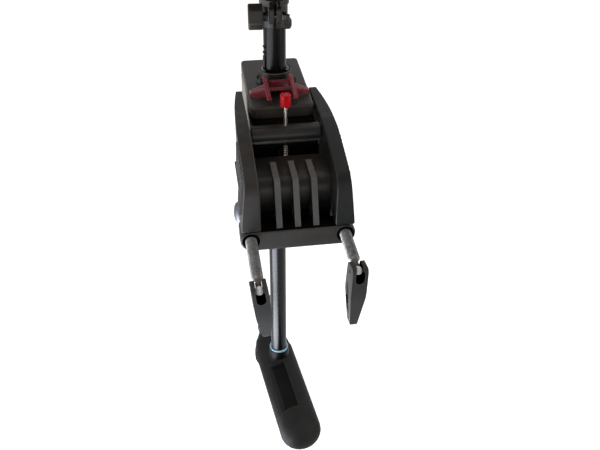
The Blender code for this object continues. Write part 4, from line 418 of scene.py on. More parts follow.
class Bench:
    """Hand tools for one mesh at a time, with everything else deselected."""

    @staticmethod
    def rest() -> None:
        """Leaves edit mode and deselects everything."""
        if bpy.context.mode != "OBJECT":
            bpy.ops.object.mode_set(mode="OBJECT")
        bpy.ops.object.select_all(action="DESELECT")

    @staticmethod
    def take(piece: Piece) -> None:
        """Selects one piece alone.

        Args:
            piece: the piece.
        """
        Bench.rest()
        piece.select_set(True)
        bpy.context.view_layer.objects.active = piece

    @staticmethod
    def heal() -> None:
        """Merges doubles and turns the faces outwards, in edit mode."""
        bpy.ops.mesh.select_all(action="SELECT")
        bpy.ops.mesh.remove_doubles(threshold=1e-6)
        bpy.ops.mesh.normals_make_consistent(inside=False)

    @staticmethod
    def chain(name: str, points: Sequence[Vector]) -> Piece:
        """Draws a line of vertices and stays in edit mode.

        Args:
            name: the piece's name.
            points: where the vertices go.

        Returns:
            The new piece.
        """
        Bench.rest()
        bpy.ops.mesh.primitive_plane_add(size=0.001, location=points[0])
        piece = bpy.context.object
        piece.name = name
        piece.data.name = name
        bpy.ops.object.mode_set(mode="EDIT")
        bpy.ops.mesh.select_all(action="SELECT")
        bpy.ops.mesh.merge(type="CENTER")
        for before, after in zip(points, points[1:]):
            bpy.ops.mesh.extrude_vertices_move(TRANSFORM_OT_translate={"value": after - before})
        bpy.ops.mesh.select_all(action="SELECT")
        return piece

    @staticmethod
    def lathe(name: str, profile: Outline, axis: Axis = Axis.Z, centre: Point = (0.0, 0.0, 0.0),
              steps: int = 64) -> Piece:
        """Spins a profile of (radius, height) points about an axis.

        Args:
            name: the piece's name.
            profile: points from one end to the other; a ring's profile is closed here.
            axis: the axis it turns about.
            centre: a point on that axis.
            steps: facets round a full turn.

        Returns:
            The new piece, in object mode.
        """
        points = [axis.spun(centre, radius, height) for radius, height in profile]
        if profile[0][0] > 0 and profile[-1][0] > 0:
            points.append(points[0])
        piece = Bench.chain(name, points)
        bpy.ops.mesh.spin(steps=steps, angle=math.tau, center=centre, axis=axis.value)
        Bench.heal()
        Bench.rest()
        return piece

    @staticmethod
    def rod(name: str, radius: float, ends: Pair, axis: Axis = Axis.Z, centre: Point = (0.0, 0.0, 0.0),
            steps: int = 96) -> Piece:
        """Turns a plain cylinder between two heights and returns it."""
        low, high = ends
        return Bench.lathe(name, [(0.0, low), (radius, low), (radius, high), (0.0, high)], axis, centre, steps)

    @staticmethod
    def ring(name: str, radii: Pair, ends: Pair, axis: Axis = Axis.Z, centre: Point = (0.0, 0.0, 0.0),
             steps: int = 96) -> Piece:
        """Turns a plain tube or washer between two heights and returns it."""
        (inner, outer), (low, high) = radii, ends
        return Bench.lathe(name, [(inner, low), (outer, low), (outer, high), (inner, high)], axis, centre, steps)

    @staticmethod
    def prism(name: str, outline: Outline, axis: Axis, low: float, high: float) -> Piece:
        """Extrudes an outline along an axis.

        Args:
            name: the piece's name.
            outline: its points, in the two other axes.
            axis: the axis.
            low: where on the axis it starts.
            high: where it ends.

        Returns:
            The new piece, in object mode.
        """
        piece = Bench.chain(name, [axis.flat(u, v, low) for u, v in outline])
        bpy.ops.mesh.edge_face_add()
        bpy.ops.mesh.extrude_region_move(TRANSFORM_OT_translate={"value": Vector(axis.value) * (high - low)})
        Bench.heal()
        Bench.rest()
        return piece

    @staticmethod
    def modify(piece: Piece, kind: str, **settings: Any) -> Piece:
        """Adds a modifier and applies it.

        Args:
            piece: the piece.
            kind: the modifier's type.
            **settings: its properties.

        Returns:
            The piece.
        """
        Bench.take(piece)
        modifier = piece.modifiers.new(kind.lower(), kind)
        for key, value in settings.items():
            setattr(modifier, key, value)
        bpy.ops.object.modifier_apply(modifier=modifier.name)
        return piece

    @staticmethod
    def merge(piece: Piece, operation: str, *tools: Piece) -> Piece:
        """Joins, cuts or crosses a piece with helper shapes.

        Args:
            piece: the piece.
            operation: UNION, DIFFERENCE or INTERSECT.
            *tools: the shapes, which are used up.

        Returns:
            The piece.
        """
        for tool in tools:
            Bench.modify(piece, "BOOLEAN", operation=operation, object=tool, solver="MANIFOLD")
            bpy.data.objects.remove(tool, do_unlink=True)
        return piece

    @staticmethod
    def cut(piece: Piece, *tools: Piece) -> Piece:
        """Takes helper shapes away from a piece and returns it."""
        return Bench.merge(piece, "DIFFERENCE", *tools)

    @staticmethod
    def join(piece: Piece, *tools: Piece) -> Piece:
        """Adds helper shapes to a piece and returns it."""
        return Bench.merge(piece, "UNION", *tools)

    @staticmethod
    def soften(piece: Piece, width: float, segments: int = 3, angle: float = 35.0) -> Piece:
        """Rounds a piece's sharp edges and returns it."""
        return Bench.modify(piece, "BEVEL", width=width, segments=segments, limit_method="ANGLE",
                            angle_limit=math.radians(angle), harden_normals=False)

    @staticmethod
    def shape(piece: Piece, rule: Callable[[Vector], Vector]) -> Piece:
        """Moves every vertex of a piece by a rule.

        Args:
            piece: the piece.
            rule: gives the new place for a place in the row frame.

        Returns:
            The piece.
        """
        Bench.settle(piece)
        for vertex in piece.data.vertices:
            vertex.co = rule(vertex.co.copy())
        piece.data.update()
        return piece

    @staticmethod
    def settle(piece: Piece, place: Matrix | None = None) -> Piece:
        """Puts a piece's place into its mesh.

        Args:
            piece: the piece.
            place: a move to make first.

        Returns:
            The piece.
        """
        Bench.take(piece)
        if place is not None:
            piece.matrix_world = place @ piece.matrix_world
        bpy.ops.object.transform_apply(location=True, rotation=True, scale=True)
        return piece

    @staticmethod
    def twin(node: str, name: str) -> Piece:
        """Copies a CAD solid, merged, to be worked on.

        Args:
            node: the CAD node's name.
            name: the copy's name.

        Returns:
            The copy.
        """
        Bench.rest()
        piece = bpy.data.objects.new(name, frame["nodes"][node].data.copy())
        bpy.context.scene.collection.objects.link(piece)
        Bench.take(piece)
        bpy.ops.object.mode_set(mode="EDIT")
        Bench.heal()
        bpy.ops.mesh.dissolve_limited(angle_limit=math.radians(0.5))
        Bench.rest()
        return piece

    @staticmethod
    def paint(piece: Piece, rule: Callable[[Face], int], *finishes: Finish) -> None:
        """Gives the faces of a finished piece more finishes.

        Args:
            piece: the piece.
            rule: gives the number of a face's finish; 0 is the piece's own.
            *finishes: the finishes from number 1 on.
        """
        for finish in finishes:
            piece.data.materials.append(finish.material())
        for face in piece.data.polygons:
            face.material_index = rule(face)

    @staticmethod
    def finish(piece: Piece, finish: Finish, body: str, *replaced: str, place: Matrix | None = None,
               slot: str | None = None, smooth: float = 38.0) -> Piece:
        """Settles a piece, shades and dresses it, and fixes it to its body.

        Args:
            piece: the piece.
            finish: its finish.
            body: the CAD body it rides on.
            *replaced: the CAD nodes it stands for.
            place: a last move of the piece.
            slot: the record's material slot; not used.
            smooth: edges sharper than this many degrees stay sharp.

        Returns:
            The piece.
        """
        Bench.settle(piece, place)
        bpy.ops.object.shade_smooth_by_angle(angle=math.radians(smooth))
        Bench.modify(piece, "WEIGHTED_NORMAL", keep_sharp=True)
        piece.data.materials.clear()
        piece.data.materials.append(finish.material())
        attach(piece, body)
        if replaced:
            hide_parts(*replaced)
        LOG.info("%s rides on %s", piece.name, body)
        return piece


@dataclass
class Bracket:
    """The part that clamps to the boat: cheeks, ribbed saddle, crossbar and the jaw's through bolt."""

    cheek_outer: float = 0.0725
    cheek_flare: float = 0.0484
    cheek_taper: float = 0.084
    taper_start: Pair = (0.027, 0.068)
    leg_bottom: float = -0.0449
    rail_front: Pair = (-0.078, 0.026)
    rail_rise: float = 0.2095
    flank_ribs: int = 9
    flank_rib_start: float = -0.060
    flank_rib_pitch: float = 0.0086
    flank_rib_width: float = 0.0026
    flank_rib_proud: float = 0.0026
    right_rib_proud: float = 0.0012
    flank_rib_root: float = 0.004
    flank_rib_round: float = 0.0008
    flank_rib_seam: float = 0.0006
    flank_rib_bottom: float = -0.028
    slot_front: float = -0.030
    slot_roof: float = 0.002
    slot_clear: float = 0.004
    ear: Corners = ((0.060, -0.022, 0.0), (0.0708, -0.022, 0.0008), (0.0664, -0.076, 0.004), (0.060, -0.080, 0.0))
    ear_y: Pair = (0.041, 0.0655)
    rail_depth: float = 0.0040
    swell: float = 0.0031
    swell_y: Pair = (0.030, 0.170)
    swell_inner: float = 0.0545
    swell_cuts: int = 12
    bend_pinch: float = 0.0024
    foot_flare: float = 0.0018
    inner_lean: float = 0.0022
    inner_reach: float = 0.0500
    inner_drop: float = 0.006
    saddle_rib_pitch: float = 0.024
    saddle_rib_half: float = 0.0039
    web_half: float = 0.0482
    web_front: float = -0.040
    web_inner: float = -0.030
    web_brow: float = 0.024
    rib_crown: float = 0.0125
    rib_back: float = -0.001
    rib_front: Pair = (-0.050, -0.0732)
    saddle_top: float = 0.005
    saddle_back: float = 0.0262
    apron_y: Pair = (-0.0440, -0.0385)
    apron_z: Pair = (-0.0570, -0.0400)
    apron_half: float = 0.0478
    apron_round: float = 0.001
    screw_x: float = 0.062
    screw_z: float = -0.059
    bar_stretch: float = 0.16
    recess_radius: float = 0.0118
    recess_depth: float = 0.0009
    recess_edge: float = 0.0004
    recess_cutter: float = 0.01
    grime_past: float = 0.004
    bolt_centre: Triple = (0.0, 0.048, -0.098)
    bolt_radius: float = 0.0050
    bolt_reach: float = 0.0765
    bolt_chamfer: float = 0.0008
    dome_radius: float = 0.0158
    dome_face: float = 0.0685
    dome_edge: float = 0.0012
    dome_steps: int = 10

    def build(self) -> None:
        """Makes the bracket's pieces."""
        for side in Side:
            self.cheek(side)
        self.saddle()
        self.crossbar()
        self.through_bolt()

    def flank(self, y: float, z: float) -> float:
        """Finds a cheek's outer face.

        Args:
            y: how far outboard the place is.
            z: its height.

        Returns:
            How far out the face is.
        """
        flared = self.cheek_outer - self.cheek_flare * (z - self.leg_bottom)
        tapered = self.taper_start[1] - self.cheek_taper * (y - self.taper_start[0])
        return min(flared, tapered, self.cheek_outer) + self.lean(y, z)

    def lean(self, y: float, z: float) -> float:
        """Draws the front of a cheek's outer face out at its foot and in at its bend.

        Args:
            y: how far outboard the place is.
            z: its height.

        Returns:
            The shift outwards.
        """
        near = (self.taper_start[0] - y) / (self.taper_start[0] - self.rail_front[0])
        rise = (z - self.leg_bottom) / (self.rail_front[1] - self.leg_bottom)
        swing = self.foot_flare + self.bend_pinch
        return min(max(near, 0.0), 1.0) * (self.foot_flare - swing * min(max(rise, 0.0), 1.0))

    def swelling(self, point: Vector) -> float:
        """Swells the cheek's outer face.

        Args:
            point: a place on the cheek.

        Returns:
            The shift outwards.
        """
        start, end = self.swell_y
        if abs(point.x) < self.swell_inner:
            return 0.0
        if not start < point.y < end:
            return self.lean(point.y, point.z)
        fade = min(max((point.z - self.leg_bottom) / -self.leg_bottom, 0.0), 1.0)
        return self.swell * math.sin(math.pi * (point.y - start) / (end - start)) * fade

    def cheek(self, side: Side) -> None:
        """Dresses a cheek: a swelled outer face, upright ribs on its flank, and an ear on the outboard leg.

        Args:
            side: the side it stands on.
        """
        sign, left = side.value, side is Side.LEFT
        name = f"{side.label}_side_plate"
        piece = Bench.twin(name, f"{side.label}_cheek")
        Bench.take(piece)
        bpy.ops.object.mode_set(mode="EDIT")
        for step in range(self.swell_cuts):
            y = self.swell_y[0] + (self.swell_y[1] - self.swell_y[0]) * (step + 1) / (self.swell_cuts + 1)
            bpy.ops.mesh.select_all(action="SELECT")
            bpy.ops.mesh.bisect(plane_co=(0.0, y, 0.0), plane_no=Axis.Y.value)
        Bench.shape(piece, lambda p: p + Vector((sign * self.swelling(p), 0.0, 0.0)))
        if left:
            Bench.shape(piece, lambda p: p - Vector((self.inner_lean, 0.0, 0.0))
                        if abs(p.x) < self.inner_reach and p.z > self.rail_front[1] - self.inner_drop else p)
        half = self.flank_rib_width / 2
        ends = side.span(-self.flank_rib_root, self.flank_rib_proud if left else self.right_rib_proud)
        for index in range(self.flank_ribs):
            y = self.flank_rib_start + index * self.flank_rib_pitch
            top = self.rail_front[1] + self.rail_rise * (y - self.rail_front[0]) - self.rail_depth
            over_leg = y < self.slot_front - self.slot_clear
            foot = self.flank_rib_bottom if over_leg else self.slot_roof + self.slot_clear
            outline = block(y - half, y + half, foot, top, self.flank_rib_round, 3)
            rib = Bench.prism(f"{name}_rib", outline, Axis.X, *ends)
            Bench.shape(rib, lambda p: Vector((p.x + sign * self.flank(p.y, p.z), p.y, p.z)))
            Bench.join(piece, rib)
        ear = side.mirror(rounded(self.ear))
        Bench.join(piece, Bench.prism(f"{name}_ear", ear, Axis.Y, *self.ear_y))
        # The right cheek is painted nearly black as the side in shade; the left is the lit copy.
        finish = BROWNED_LIT_NYLON if left else SHADOW_NYLON
        Bench.finish(piece, finish, "bracket", name, slot="black_plastic", smooth=30)

        def rubbed(face: Face) -> int:
            """Tells a rib's face, painted pale as lit, from the cheek's.

            Args:
                face: a face of the piece.

            Returns:
                1 on a rib, else 0.
            """
            x, y, z = face.center
            proud = abs(x) > self.flank(y, z) + self.flank_rib_seam and self.flank_rib_bottom < z
            return int(proud and y < self.flank_rib_start + self.flank_ribs * self.flank_rib_pitch)

        # The flank's ribs are painted pale where light catches them.
        Bench.paint(piece, rubbed, CHAFED_LIT_NYLON)

    def saddle(self) -> None:
        """Moulds the saddle: a web with a rounded brow, a black apron of painted shade under it, and ribs painted
        pale as lit.
        """
        low, top, front = self.leg_bottom, self.saddle_top, self.web_front
        pitch, half = self.saddle_rib_pitch, self.saddle_rib_half
        web = rounded([(self.web_inner, low, 0.0), (self.web_inner, 0.0, 0.003), (self.saddle_back, 0.0, 0.0),
                       (self.saddle_back, top, 0.002), (front, top, self.web_brow), (front, low, 0.0)], 16)
        piece = Bench.prism("saddle_web", web, Axis.X, -self.web_half, self.web_half)
        apron = block(*self.apron_y, *self.apron_z, self.apron_round, 2)
        Bench.join(piece, Bench.prism("saddle_apron", apron, Axis.X, -self.apron_half, self.apron_half))
        middle, foot = (self.web_inner + front) / 2, low + HAIR
        crown, back = self.rib_crown, self.rib_back
        rib = rounded([(middle, foot, 0.0), (middle, top / 2, 0.0), (back + crown - top, top / 2, 0.0),
                       (back, crown, 0.002), (self.rib_front[0], crown, 0.004), (self.rib_front[1], foot, 0.0)])
        for x in (-pitch, 0.0, pitch):
            Bench.join(piece, Bench.prism("saddle_rib", rib, Axis.X, x - half, x + half))
        Bench.finish(piece, WEB_NYLON, "bracket", "ribbed_saddle", slot="grey_plastic", smooth=30)

        def coat(face: Face) -> int:
            """Picks the finish of a face.

            Args:
                face: a face of the piece.

            Returns:
                1 on a rib's front and 2 on its top, painted pale as lit, 3 on the apron, painted black as shade, else
                0.
            """
            x, y, z = face.center
            offset = abs((x + 1.5 * pitch) % pitch - pitch / 2)
            on_rib = offset < half + 1e-5 and abs(x) < 1.5 * pitch
            # The apron is a black sheet of painted shade under the web's brow.
            if z < self.apron_z[1] + 0.0005 and self.apron_y[0] - HAIR < y < front - HAIR:
                return 3
            if on_rib and (y < front - HAIR or z > top + HAIR) and abs(face.normal.x) < 0.5:
                return 2 if face.normal.z > 0.8 else 1
            return 0

        Bench.paint(piece, coat, CHAFED_LIT_NYLON, DUSTY_LIT_NYLON, SHADE_BLACK_NYLON)

    def crossbar(self) -> None:
        """Dresses the crossbar with the shallow recesses round its clamp screws, and paints shade on its top and in
        them.
        """
        piece = Bench.twin("clamp_crossbar", "crossbar")
        Bench.shape(piece, lambda p: Vector((p.x, p.y, p.z + min(p.z - self.screw_z, 0.0) * self.bar_stretch)))
        front, radius, edge = self.rail_front[0], self.recess_radius, self.recess_edge
        floor, start = front + self.recess_depth, front - self.recess_cutter
        recess = [(0.0, start), (radius, start), (radius, floor - edge), (radius - edge, floor), (0.0, floor)]
        for side in Side:
            centre = (side.value * self.screw_x, 0.0, self.screw_z)
            Bench.cut(piece, Bench.lathe("screw_recess", recess, Axis.Y, centre, 48))
        Bench.finish(piece, BLACK_NYLON, "bracket", "clamp_crossbar", slot="black_plastic", smooth=30)

        def coat(face: Face) -> int:
            """Picks the finish of a face.

            Args:
                face: a face of the piece.

            Returns:
                1 on the top under the saddle, painted black as shade, 2 in a recess, painted dark as shade, else 0.
            """
            x, y, z = face.center
            # Painted shade: black on the top under the saddle, dark in the recesses round the screws.
            if face.normal.z > 0.9 and abs(x) < self.web_half + self.grime_past:
                return 1
            sunk = math.hypot(abs(x) - self.screw_x, z - self.screw_z) < radius + 0.0003 and y < 0.9 * front
            return 2 if sunk else 0

        Bench.paint(piece, coat, SHADE_BLACK_NYLON, SHADOW_NYLON)

    def through_bolt(self) -> None:
        """Turns the jaw's bolt with its low domed head."""
        crown = -self.dome_face - self.dome_edge
        height = self.bolt_reach - self.dome_face - self.dome_edge
        dome = [(self.dome_radius * math.sin(turn), crown - height * math.cos(turn))
                for turn in (math.radians(90 / self.dome_steps * step) for step in range(self.dome_steps + 1))]
        radius, reach, chamfer = self.bolt_radius, self.bolt_reach, self.bolt_chamfer
        profile = dome + [(self.dome_radius, -self.dome_face), (radius, -self.dome_face), (radius, reach - chamfer),
                          (radius - chamfer, reach), (0.0, reach)]
        profile[0] = (0.0, profile[0][1])
        piece = Bench.lathe("domed_through_bolt", profile, Axis.X, self.bolt_centre, 48)
        Bench.finish(piece, POLISHED_ZINC, "bracket", "jaw_bolt", slot="zinc_steel")


@dataclass
class Clamp:
    """One clamp: threaded screw with its ball end, and the folding paddle."""

    side: Side
    pin: Triple
    lean: float
    below: float
    above: float
    yaw: float
    sway: float = 0.0
    ball: float = 0.0056
    neck: float = 0.0038
    neck_start: float = 0.0050
    neck_end: float = 0.0195
    neck_wide: float = 0.0039
    shoulder: float = 0.0228
    shoulder_share: float = 0.88
    tip_share: float = 0.8
    radius: float = 0.0077
    thread_start: float = 0.0236
    thread_end: float = 0.1270
    thread_pitch: float = 0.0020
    thread_depth: float = 0.0009
    thread_rows: int = 8
    tip_radius: float = 0.0050
    tip_face: float = 0.1280
    tip_end: float = 0.1325
    width: float = 0.0204
    tip_width: float = 0.0095
    depth: float = 0.0258
    fork_depth: float = 0.0225
    tip_depth: float = 0.0125
    waist: float = -0.0330
    slot_half: float = 0.0059
    slot_bottom: float = -0.0125
    neck_slot: float = 0.0042
    neck_floor: float = -0.0066
    slot_back: float = 0.0062
    slot_flare: float = 0.0018
    slot_neck: Pair = (0.0030, 0.0060)
    slot_cutter: float = 0.0305
    cutter: float = 0.03
    prong_round: float = 0.0030
    fork_round: float = 0.0100
    flank_round: float = 0.120
    tip_round: float = 0.0038
    tip_edge: float = 0.003
    edge: float = 0.0013
    pin_hole: float = 0.0025
    hollow: Corners = ((-0.0075, -0.020, 0.0055), (0.0075, -0.020, 0.0055), (0.0035, -0.066, 0.004),
                       (-0.0035, -0.066, 0.004))
    hollow_depth: float = 0.0009
    grooves: int = 6
    groove_top: float = -0.0263
    groove_pitch: float = 0.0050
    groove_half: Pair = (0.0044, 0.0008)
    groove_round: float = 0.0006
    groove_depth: float = 0.0019
    pocket: Corners = ((0.0046, 0.50, 0.002), (0.0112, 0.50, 0.001), (0.0086, 0.78, 0.001), (0.0042, 0.78, 0.002))
    pocket_span: Pair = (0.79, 0.49)
    pocket_depth: float = 0.0034
    carve_reach: float = 0.01

    @property
    def place(self) -> Matrix:
        """The clamp's own frame: +Y along the screw, the paddle hanging down."""
        return Matrix.Translation(self.pin) @ turned(self.lean, Axis.Y)

    @property
    def twist(self) -> Matrix:
        """The paddle's own turn on its ball, which its slot for the neck doesn't share."""
        return turned(-self.sway, Axis.Y) @ turned(self.yaw, Axis.Z)

    def build(self) -> None:
        """Makes the clamp's pieces."""
        self.screw()
        self.paddle()

    def screw(self) -> None:
        """Turns the screw, then cuts its helical thread."""
        ball = arc((0.0, 0.0), self.ball, -90, 55, 10)
        ball[0] = (0.0, -self.ball)
        rows = round((self.thread_end - self.thread_start) / self.thread_pitch * self.thread_rows)
        thread = [(self.radius, self.thread_start + (self.thread_end - self.thread_start) * row / rows)
                  for row in range(rows + 1)]
        radius, tip, face, end = self.radius, self.tip_radius, self.tip_face, self.tip_end
        profile = [*ball, (self.neck, self.neck_start), (self.neck_wide, self.neck_end),
                   (radius * self.shoulder_share, self.shoulder), *thread, (radius * self.tip_share, face),
                   (tip, face), (tip, end), (0.0, end)]
        piece = Bench.lathe(f"{self.side.label}_threaded_screw", profile, Axis.Y, steps=28)

        def groove(point: Vector) -> Vector:
            """Sinks a point of the thread by its place on the helix.

            Args:
                point: a point of the screw.

            Returns:
                Where it goes.
            """
            if not self.thread_start + TRACE < point.y < self.thread_end - TRACE:
                return point
            phase = math.tau * point.y / self.thread_pitch - math.atan2(point.z, point.x)
            share = 1 - self.thread_depth / self.radius * (0.5 - 0.5 * math.cos(phase))
            return Vector((point.x * share, point.y, point.z * share))

        Bench.shape(piece, groove)
        Bench.finish(piece, ZINC_PLATE, f"{self.side.label}_screw", f"{self.side.label}_clamp_screw",
                     place=self.place, slot="zinc_steel", smooth=75)
        home = self.place.inverted()

        def coat(face: Face) -> int:
            """Picks the finish of a face.

            Args:
                face: a face of the piece.

            Returns:
                1 on the ball, 2 on the neck, else 0.
            """
            at = home @ face.center
            on_neck = self.ball < at.y < self.neck_end + HAIR
            return 1 if at.length < self.ball + HAIR else 2 * int(on_neck)

        Bench.paint(piece, coat, ZINC_BLOOM, DULLED_ZINC)

    def half_width(self, z: float) -> float:
        """Returns half the paddle's width at a height."""
        share = min(max((self.waist - z) / (self.waist + self.below), 0.0), 1.0)
        return (self.width + (self.tip_width - self.width) * share) / 2

    def paddle(self) -> None:
        """Carves the paddle: forked top, blunt tip, finger hollows with grip grooves."""
        half, tip, deep, thin, fork = (size / 2 for size in (self.width, self.tip_width, self.depth, self.tip_depth,
                                                             self.fork_depth))
        above, waist, low, reach = self.above, self.waist, -self.below, self.cutter
        prong, long = self.prong_round, self.flank_round
        front = rounded([(-half, above, prong), (half, above, prong), (half, waist, long), (tip, low, self.tip_round),
                         (-tip, low, self.tip_round), (-half, waist, long)], 8)
        flank = rounded([(-fork, above, self.fork_round), (fork, above, self.fork_round), (deep, waist, long),
                         (thin, low, self.tip_edge), (-thin, low, self.tip_edge), (-deep, waist, long)], 8)
        piece = Bench.prism(f"{self.side.label}_paddle", front, Axis.Y, -reach, reach)
        Bench.merge(piece, "INTERSECT", Bench.prism("paddle_flank", flank, Axis.X, -reach, reach))
        Bench.soften(piece, self.edge, 3, 40)
        self._fork(piece)
        for side in Side:
            self._carve(piece, rounded(self.hollow), side, self.hollow_depth)
            wide, tall = self.groove_half
            for index in range(self.grooves):
                z = self.groove_top - self.groove_pitch * index
                self._carve(piece, block(-wide, wide, z - tall, z + tall, self.groove_round, 3), side,
                            self.groove_depth)
            pocket = rounded([(u, -share * self.below, radius) for u, share, radius in self.pocket])
            self._carve(piece, pocket, side, self.pocket_depth)
        place = self.place @ self.twist
        Bench.finish(piece, RUBBED_NYLON, f"{self.side.label}_handle", f"{self.side.label}_clamp_handle",
                     place=place, slot="black_plastic", smooth=32)
        back = place.inverted()
        pocket_low, pocket_high = (-share * self.below for share in self.pocket_span)

        def grimy(face: Face) -> int:
            """Finds the faces painted black as shade.

            Args:
                face: a face of the piece.

            Returns:
                1 in the slot, the ball's seat and the side pockets, else 0.
            """
            x, y, z = back @ face.center
            across = abs(x)
            in_slot = across < self.slot_half + 0.0005 and self.slot_bottom - 0.0003 < z < above - self.slot_flare
            on_wall = in_slot and abs((back.to_3x3() @ face.normal).y) < 0.35
            on_seat = across < self.slot_half and y > 0 and z < 0.0058 and abs(y - self.slot_back) < TRACE
            inset = self.half_width(z) - across
            in_pocket = y > 0.004 and pocket_low < z < pocket_high and 0.0008 < inset < self.pocket_depth + 0.0003
            return int(in_pocket or on_wall or on_seat)

        Bench.paint(piece, grimy, SHADE_BLACK_NYLON)

    def _fork(self, piece: Piece) -> None:
        """Cuts the ball's pocket, the slot for the screw's neck and the pin's hole.

        Args:
            piece: the paddle.
        """
        narrow, flare, (low, high) = self.neck_slot, self.slot_flare, self.slot_neck
        pocket = arc((0.0, self.slot_bottom + self.slot_half), self.slot_half, 180, 360, 12)
        pocket += [(self.slot_half, low), (narrow, high), (-narrow, high), (-self.slot_half, low)]
        Bench.cut(piece, Bench.prism("ball_pocket", pocket, Axis.Y, -self.cutter, self.slot_back))
        mouth = arc((narrow + flare, self.above - flare), flare, 180, 95, 6)
        slot = [(-narrow, self.neck_floor), (narrow, self.neck_floor)] + mouth
        slot += [(narrow + flare, self.cutter), (-narrow - flare, self.cutter)]
        slot += [(-u, v) for u, v in reversed(mouth)]
        fork_slot = Bench.prism("fork_slot", slot, Axis.Y, -self.slot_cutter, self.slot_cutter)
        Bench.shape(fork_slot, lambda p: self.twist.inverted() @ p)
        Bench.cut(piece, fork_slot)
        Bench.cut(piece, Bench.rod("pin_hole", self.pin_hole, (-self.cutter, self.cutter), Axis.X, steps=24))

    def _carve(self, piece: Piece, outline: Outline, side: Side, depth: float) -> None:
        """Sinks an outline into a side of the paddle.

        Args:
            piece: the paddle.
            outline: the outline, in Y and Z.
            side: the side.
            depth: how far below the sloping face.
        """
        tool = Bench.prism("grip_tool", outline, Axis.X, *side.span(-depth, self.carve_reach))
        Bench.shape(tool, lambda p: Vector((p.x + side.value * self.half_width(p.z), p.y, p.z)))
        Bench.cut(piece, tool)


@dataclass
class TiltHead:
    """The part that tilts: cover with its steering cup, hinge bar, spring and the plunger's knob and rod."""

    half_width: float = 0.044
    front: float = 0.072
    back: float = 0.2395
    bottom: float = 0.037
    top: float = 0.056
    corner: float = 0.010
    back_corner: float = 0.007
    wall: float = 0.003
    edge: float = 0.0032
    side_y: Pair = (0.0660, 0.2385)
    side_z: Pair = (0.0020, 0.0367)
    side_thick: float = 0.0030
    side_round: float = 0.004
    side_edge: float = 0.0006
    above: float = 0.1
    cup_radius: float = 0.0236
    cup_bore: float = 0.0222
    cup_top: float = 0.0750
    cup_edge: float = 0.0004
    foot_radius: float = 0.0280
    foot_height: float = 0.0030
    lug_inner: float = 0.0218
    lug_outer: float = 0.0258
    lug_radius: float = 0.0050
    lug_spread: float = 0.001
    pocket_x: Pair = (0.0142, 0.0228)
    pocket_y: Pair = (0.0740, 0.0950)
    pocket_depth: float = 0.0016
    pocket_round: float = 0.003
    pivot: Triple = (0.0, 0.046, 0.028)
    bar_radius: float = 0.0130
    bar_end: float = 0.0472
    bar_edge: float = 0.0008
    seam_x: tuple[float, ...] = (0.0008, 0.0010, 0.0013, 0.0015)
    stub_radius: float = 0.0080
    stub_end: float = 0.0544
    rod_hole: float = 0.0033
    rod_through: Pair = (-0.05, 0.1)
    spring_low: float = -0.0145
    spring_high: float = 0.0107
    spring_radius: float = 0.0026
    spring_wire: float = 0.0009
    spring_turns: int = 7
    spring_steps: int = 24
    spring_keep: float = 0.603
    guard_half: float = 0.0068
    guard_y: Pair = (0.0530, 0.0545)
    guard_z: Pair = (-0.0150, 0.0105)
    guard_round: float = 0.0004
    skirt_half: float = 0.0474
    skirt_y: Pair = (0.0540, 0.0625)
    skirt_z: Pair = (0.0030, 0.0107)
    lip_front: float = 0.0428
    lip_trim: Pair = (0.0100, 0.0170)
    lip_half: float = 0.06
    knob_radius: float = 0.0071
    knob_low: float = 0.0690
    knob_top: float = 0.0865
    knob_dish: float = 0.0042
    knob_dish_depth: float = 0.0018
    rod_radius: float = 0.0026
    rod_top: float = 0.0800
    rod_gap: float = 0.0003
    rod_step: float = 0.0150
    rod_tip_radius: float = 0.0012
    rod_tip: float = -0.0200
    rod_edge: float = 0.0006
    flange_radius: float = 0.0050
    flange_z: Pair = (-0.0170, -0.0148)

    @property
    def plunger_foot(self) -> Triple:
        """A point on the plunger's axis."""
        return 0.0, self.pivot[1], 0.0

    def build(self) -> None:
        """Makes the tilting head's pieces."""
        self.cover()
        self.hinge_bar()
        self.spring()
        self.guard()
        self.knob()
        self.rod()

    def cover(self) -> None:
        """Moulds the cover with its rounded rim, cup, lever lugs and nose pockets."""
        half = self.half_width
        plan = rounded([(-half, self.front, self.corner), (half, self.front, self.corner),
                        (half, self.back, self.back_corner), (-half, self.back, self.back_corner)], 12)
        piece = Bench.prism("steering_cover", plan, Axis.Z, self.bottom, self.top)
        Bench.soften(piece, self.edge, 5)
        room = block(self.wall - half, half - self.wall, self.front + self.wall, self.back - self.wall,
                     self.corner - self.wall, 8)
        Bench.cut(piece, Bench.prism("cover_room", room, Axis.Z, 0.0, self.top - self.wall))
        inside = self.top - self.wall / 2
        foot = self.top + self.foot_height
        skirt, outer, bore, top, edge = self.foot_radius, self.cup_radius, self.cup_bore, self.cup_top, self.cup_edge
        Bench.cut(piece, Bench.rod("cup_hole", (bore + outer) / 2, (0.0, self.above), Axis.Z, SHAFT_FOOT, 90))
        cup = [(bore, inside), (skirt, inside), (skirt, foot - 0.0010), (skirt - 0.0006, foot),
               (skirt - 0.0012, foot - 0.0010), (skirt - 0.0018, self.top + 0.0004),
               (outer + 0.0004, self.top + 0.0006), (outer, self.top + 0.0014), (outer, top - edge),
               (outer - edge, top), (bore + edge, top), (bore, top - edge)]
        Bench.join(piece, Bench.lathe("cup", cup, Axis.Z, SHAFT_FOOT, 96))
        _, y, z = LEVER_PIVOT
        root = self.lug_radius + self.lug_spread
        lug = arc((y, z), self.lug_radius, 0, 180, 16) + [(y - root, inside), (y + root, inside)]
        for side in Side:
            Bench.join(piece, Bench.prism("lever_lug", lug, Axis.X, *side.span(self.lug_inner, self.lug_outer)))
            pocket = block(*side.span(*self.pocket_x), *self.pocket_y, self.pocket_round, 5)
            Bench.cut(piece, Bench.prism("nose_pocket", pocket, Axis.Z, self.top - self.pocket_depth, self.above))
        Bench.cut(piece, Bench.rod("lug_hole", LEVER_BORE, THROUGH, Axis.X, LEVER_PIVOT, 24))
        Bench.finish(piece, BLACK_NYLON, "tilt_head", "tilt_cover", slot="black_plastic", smooth=30)

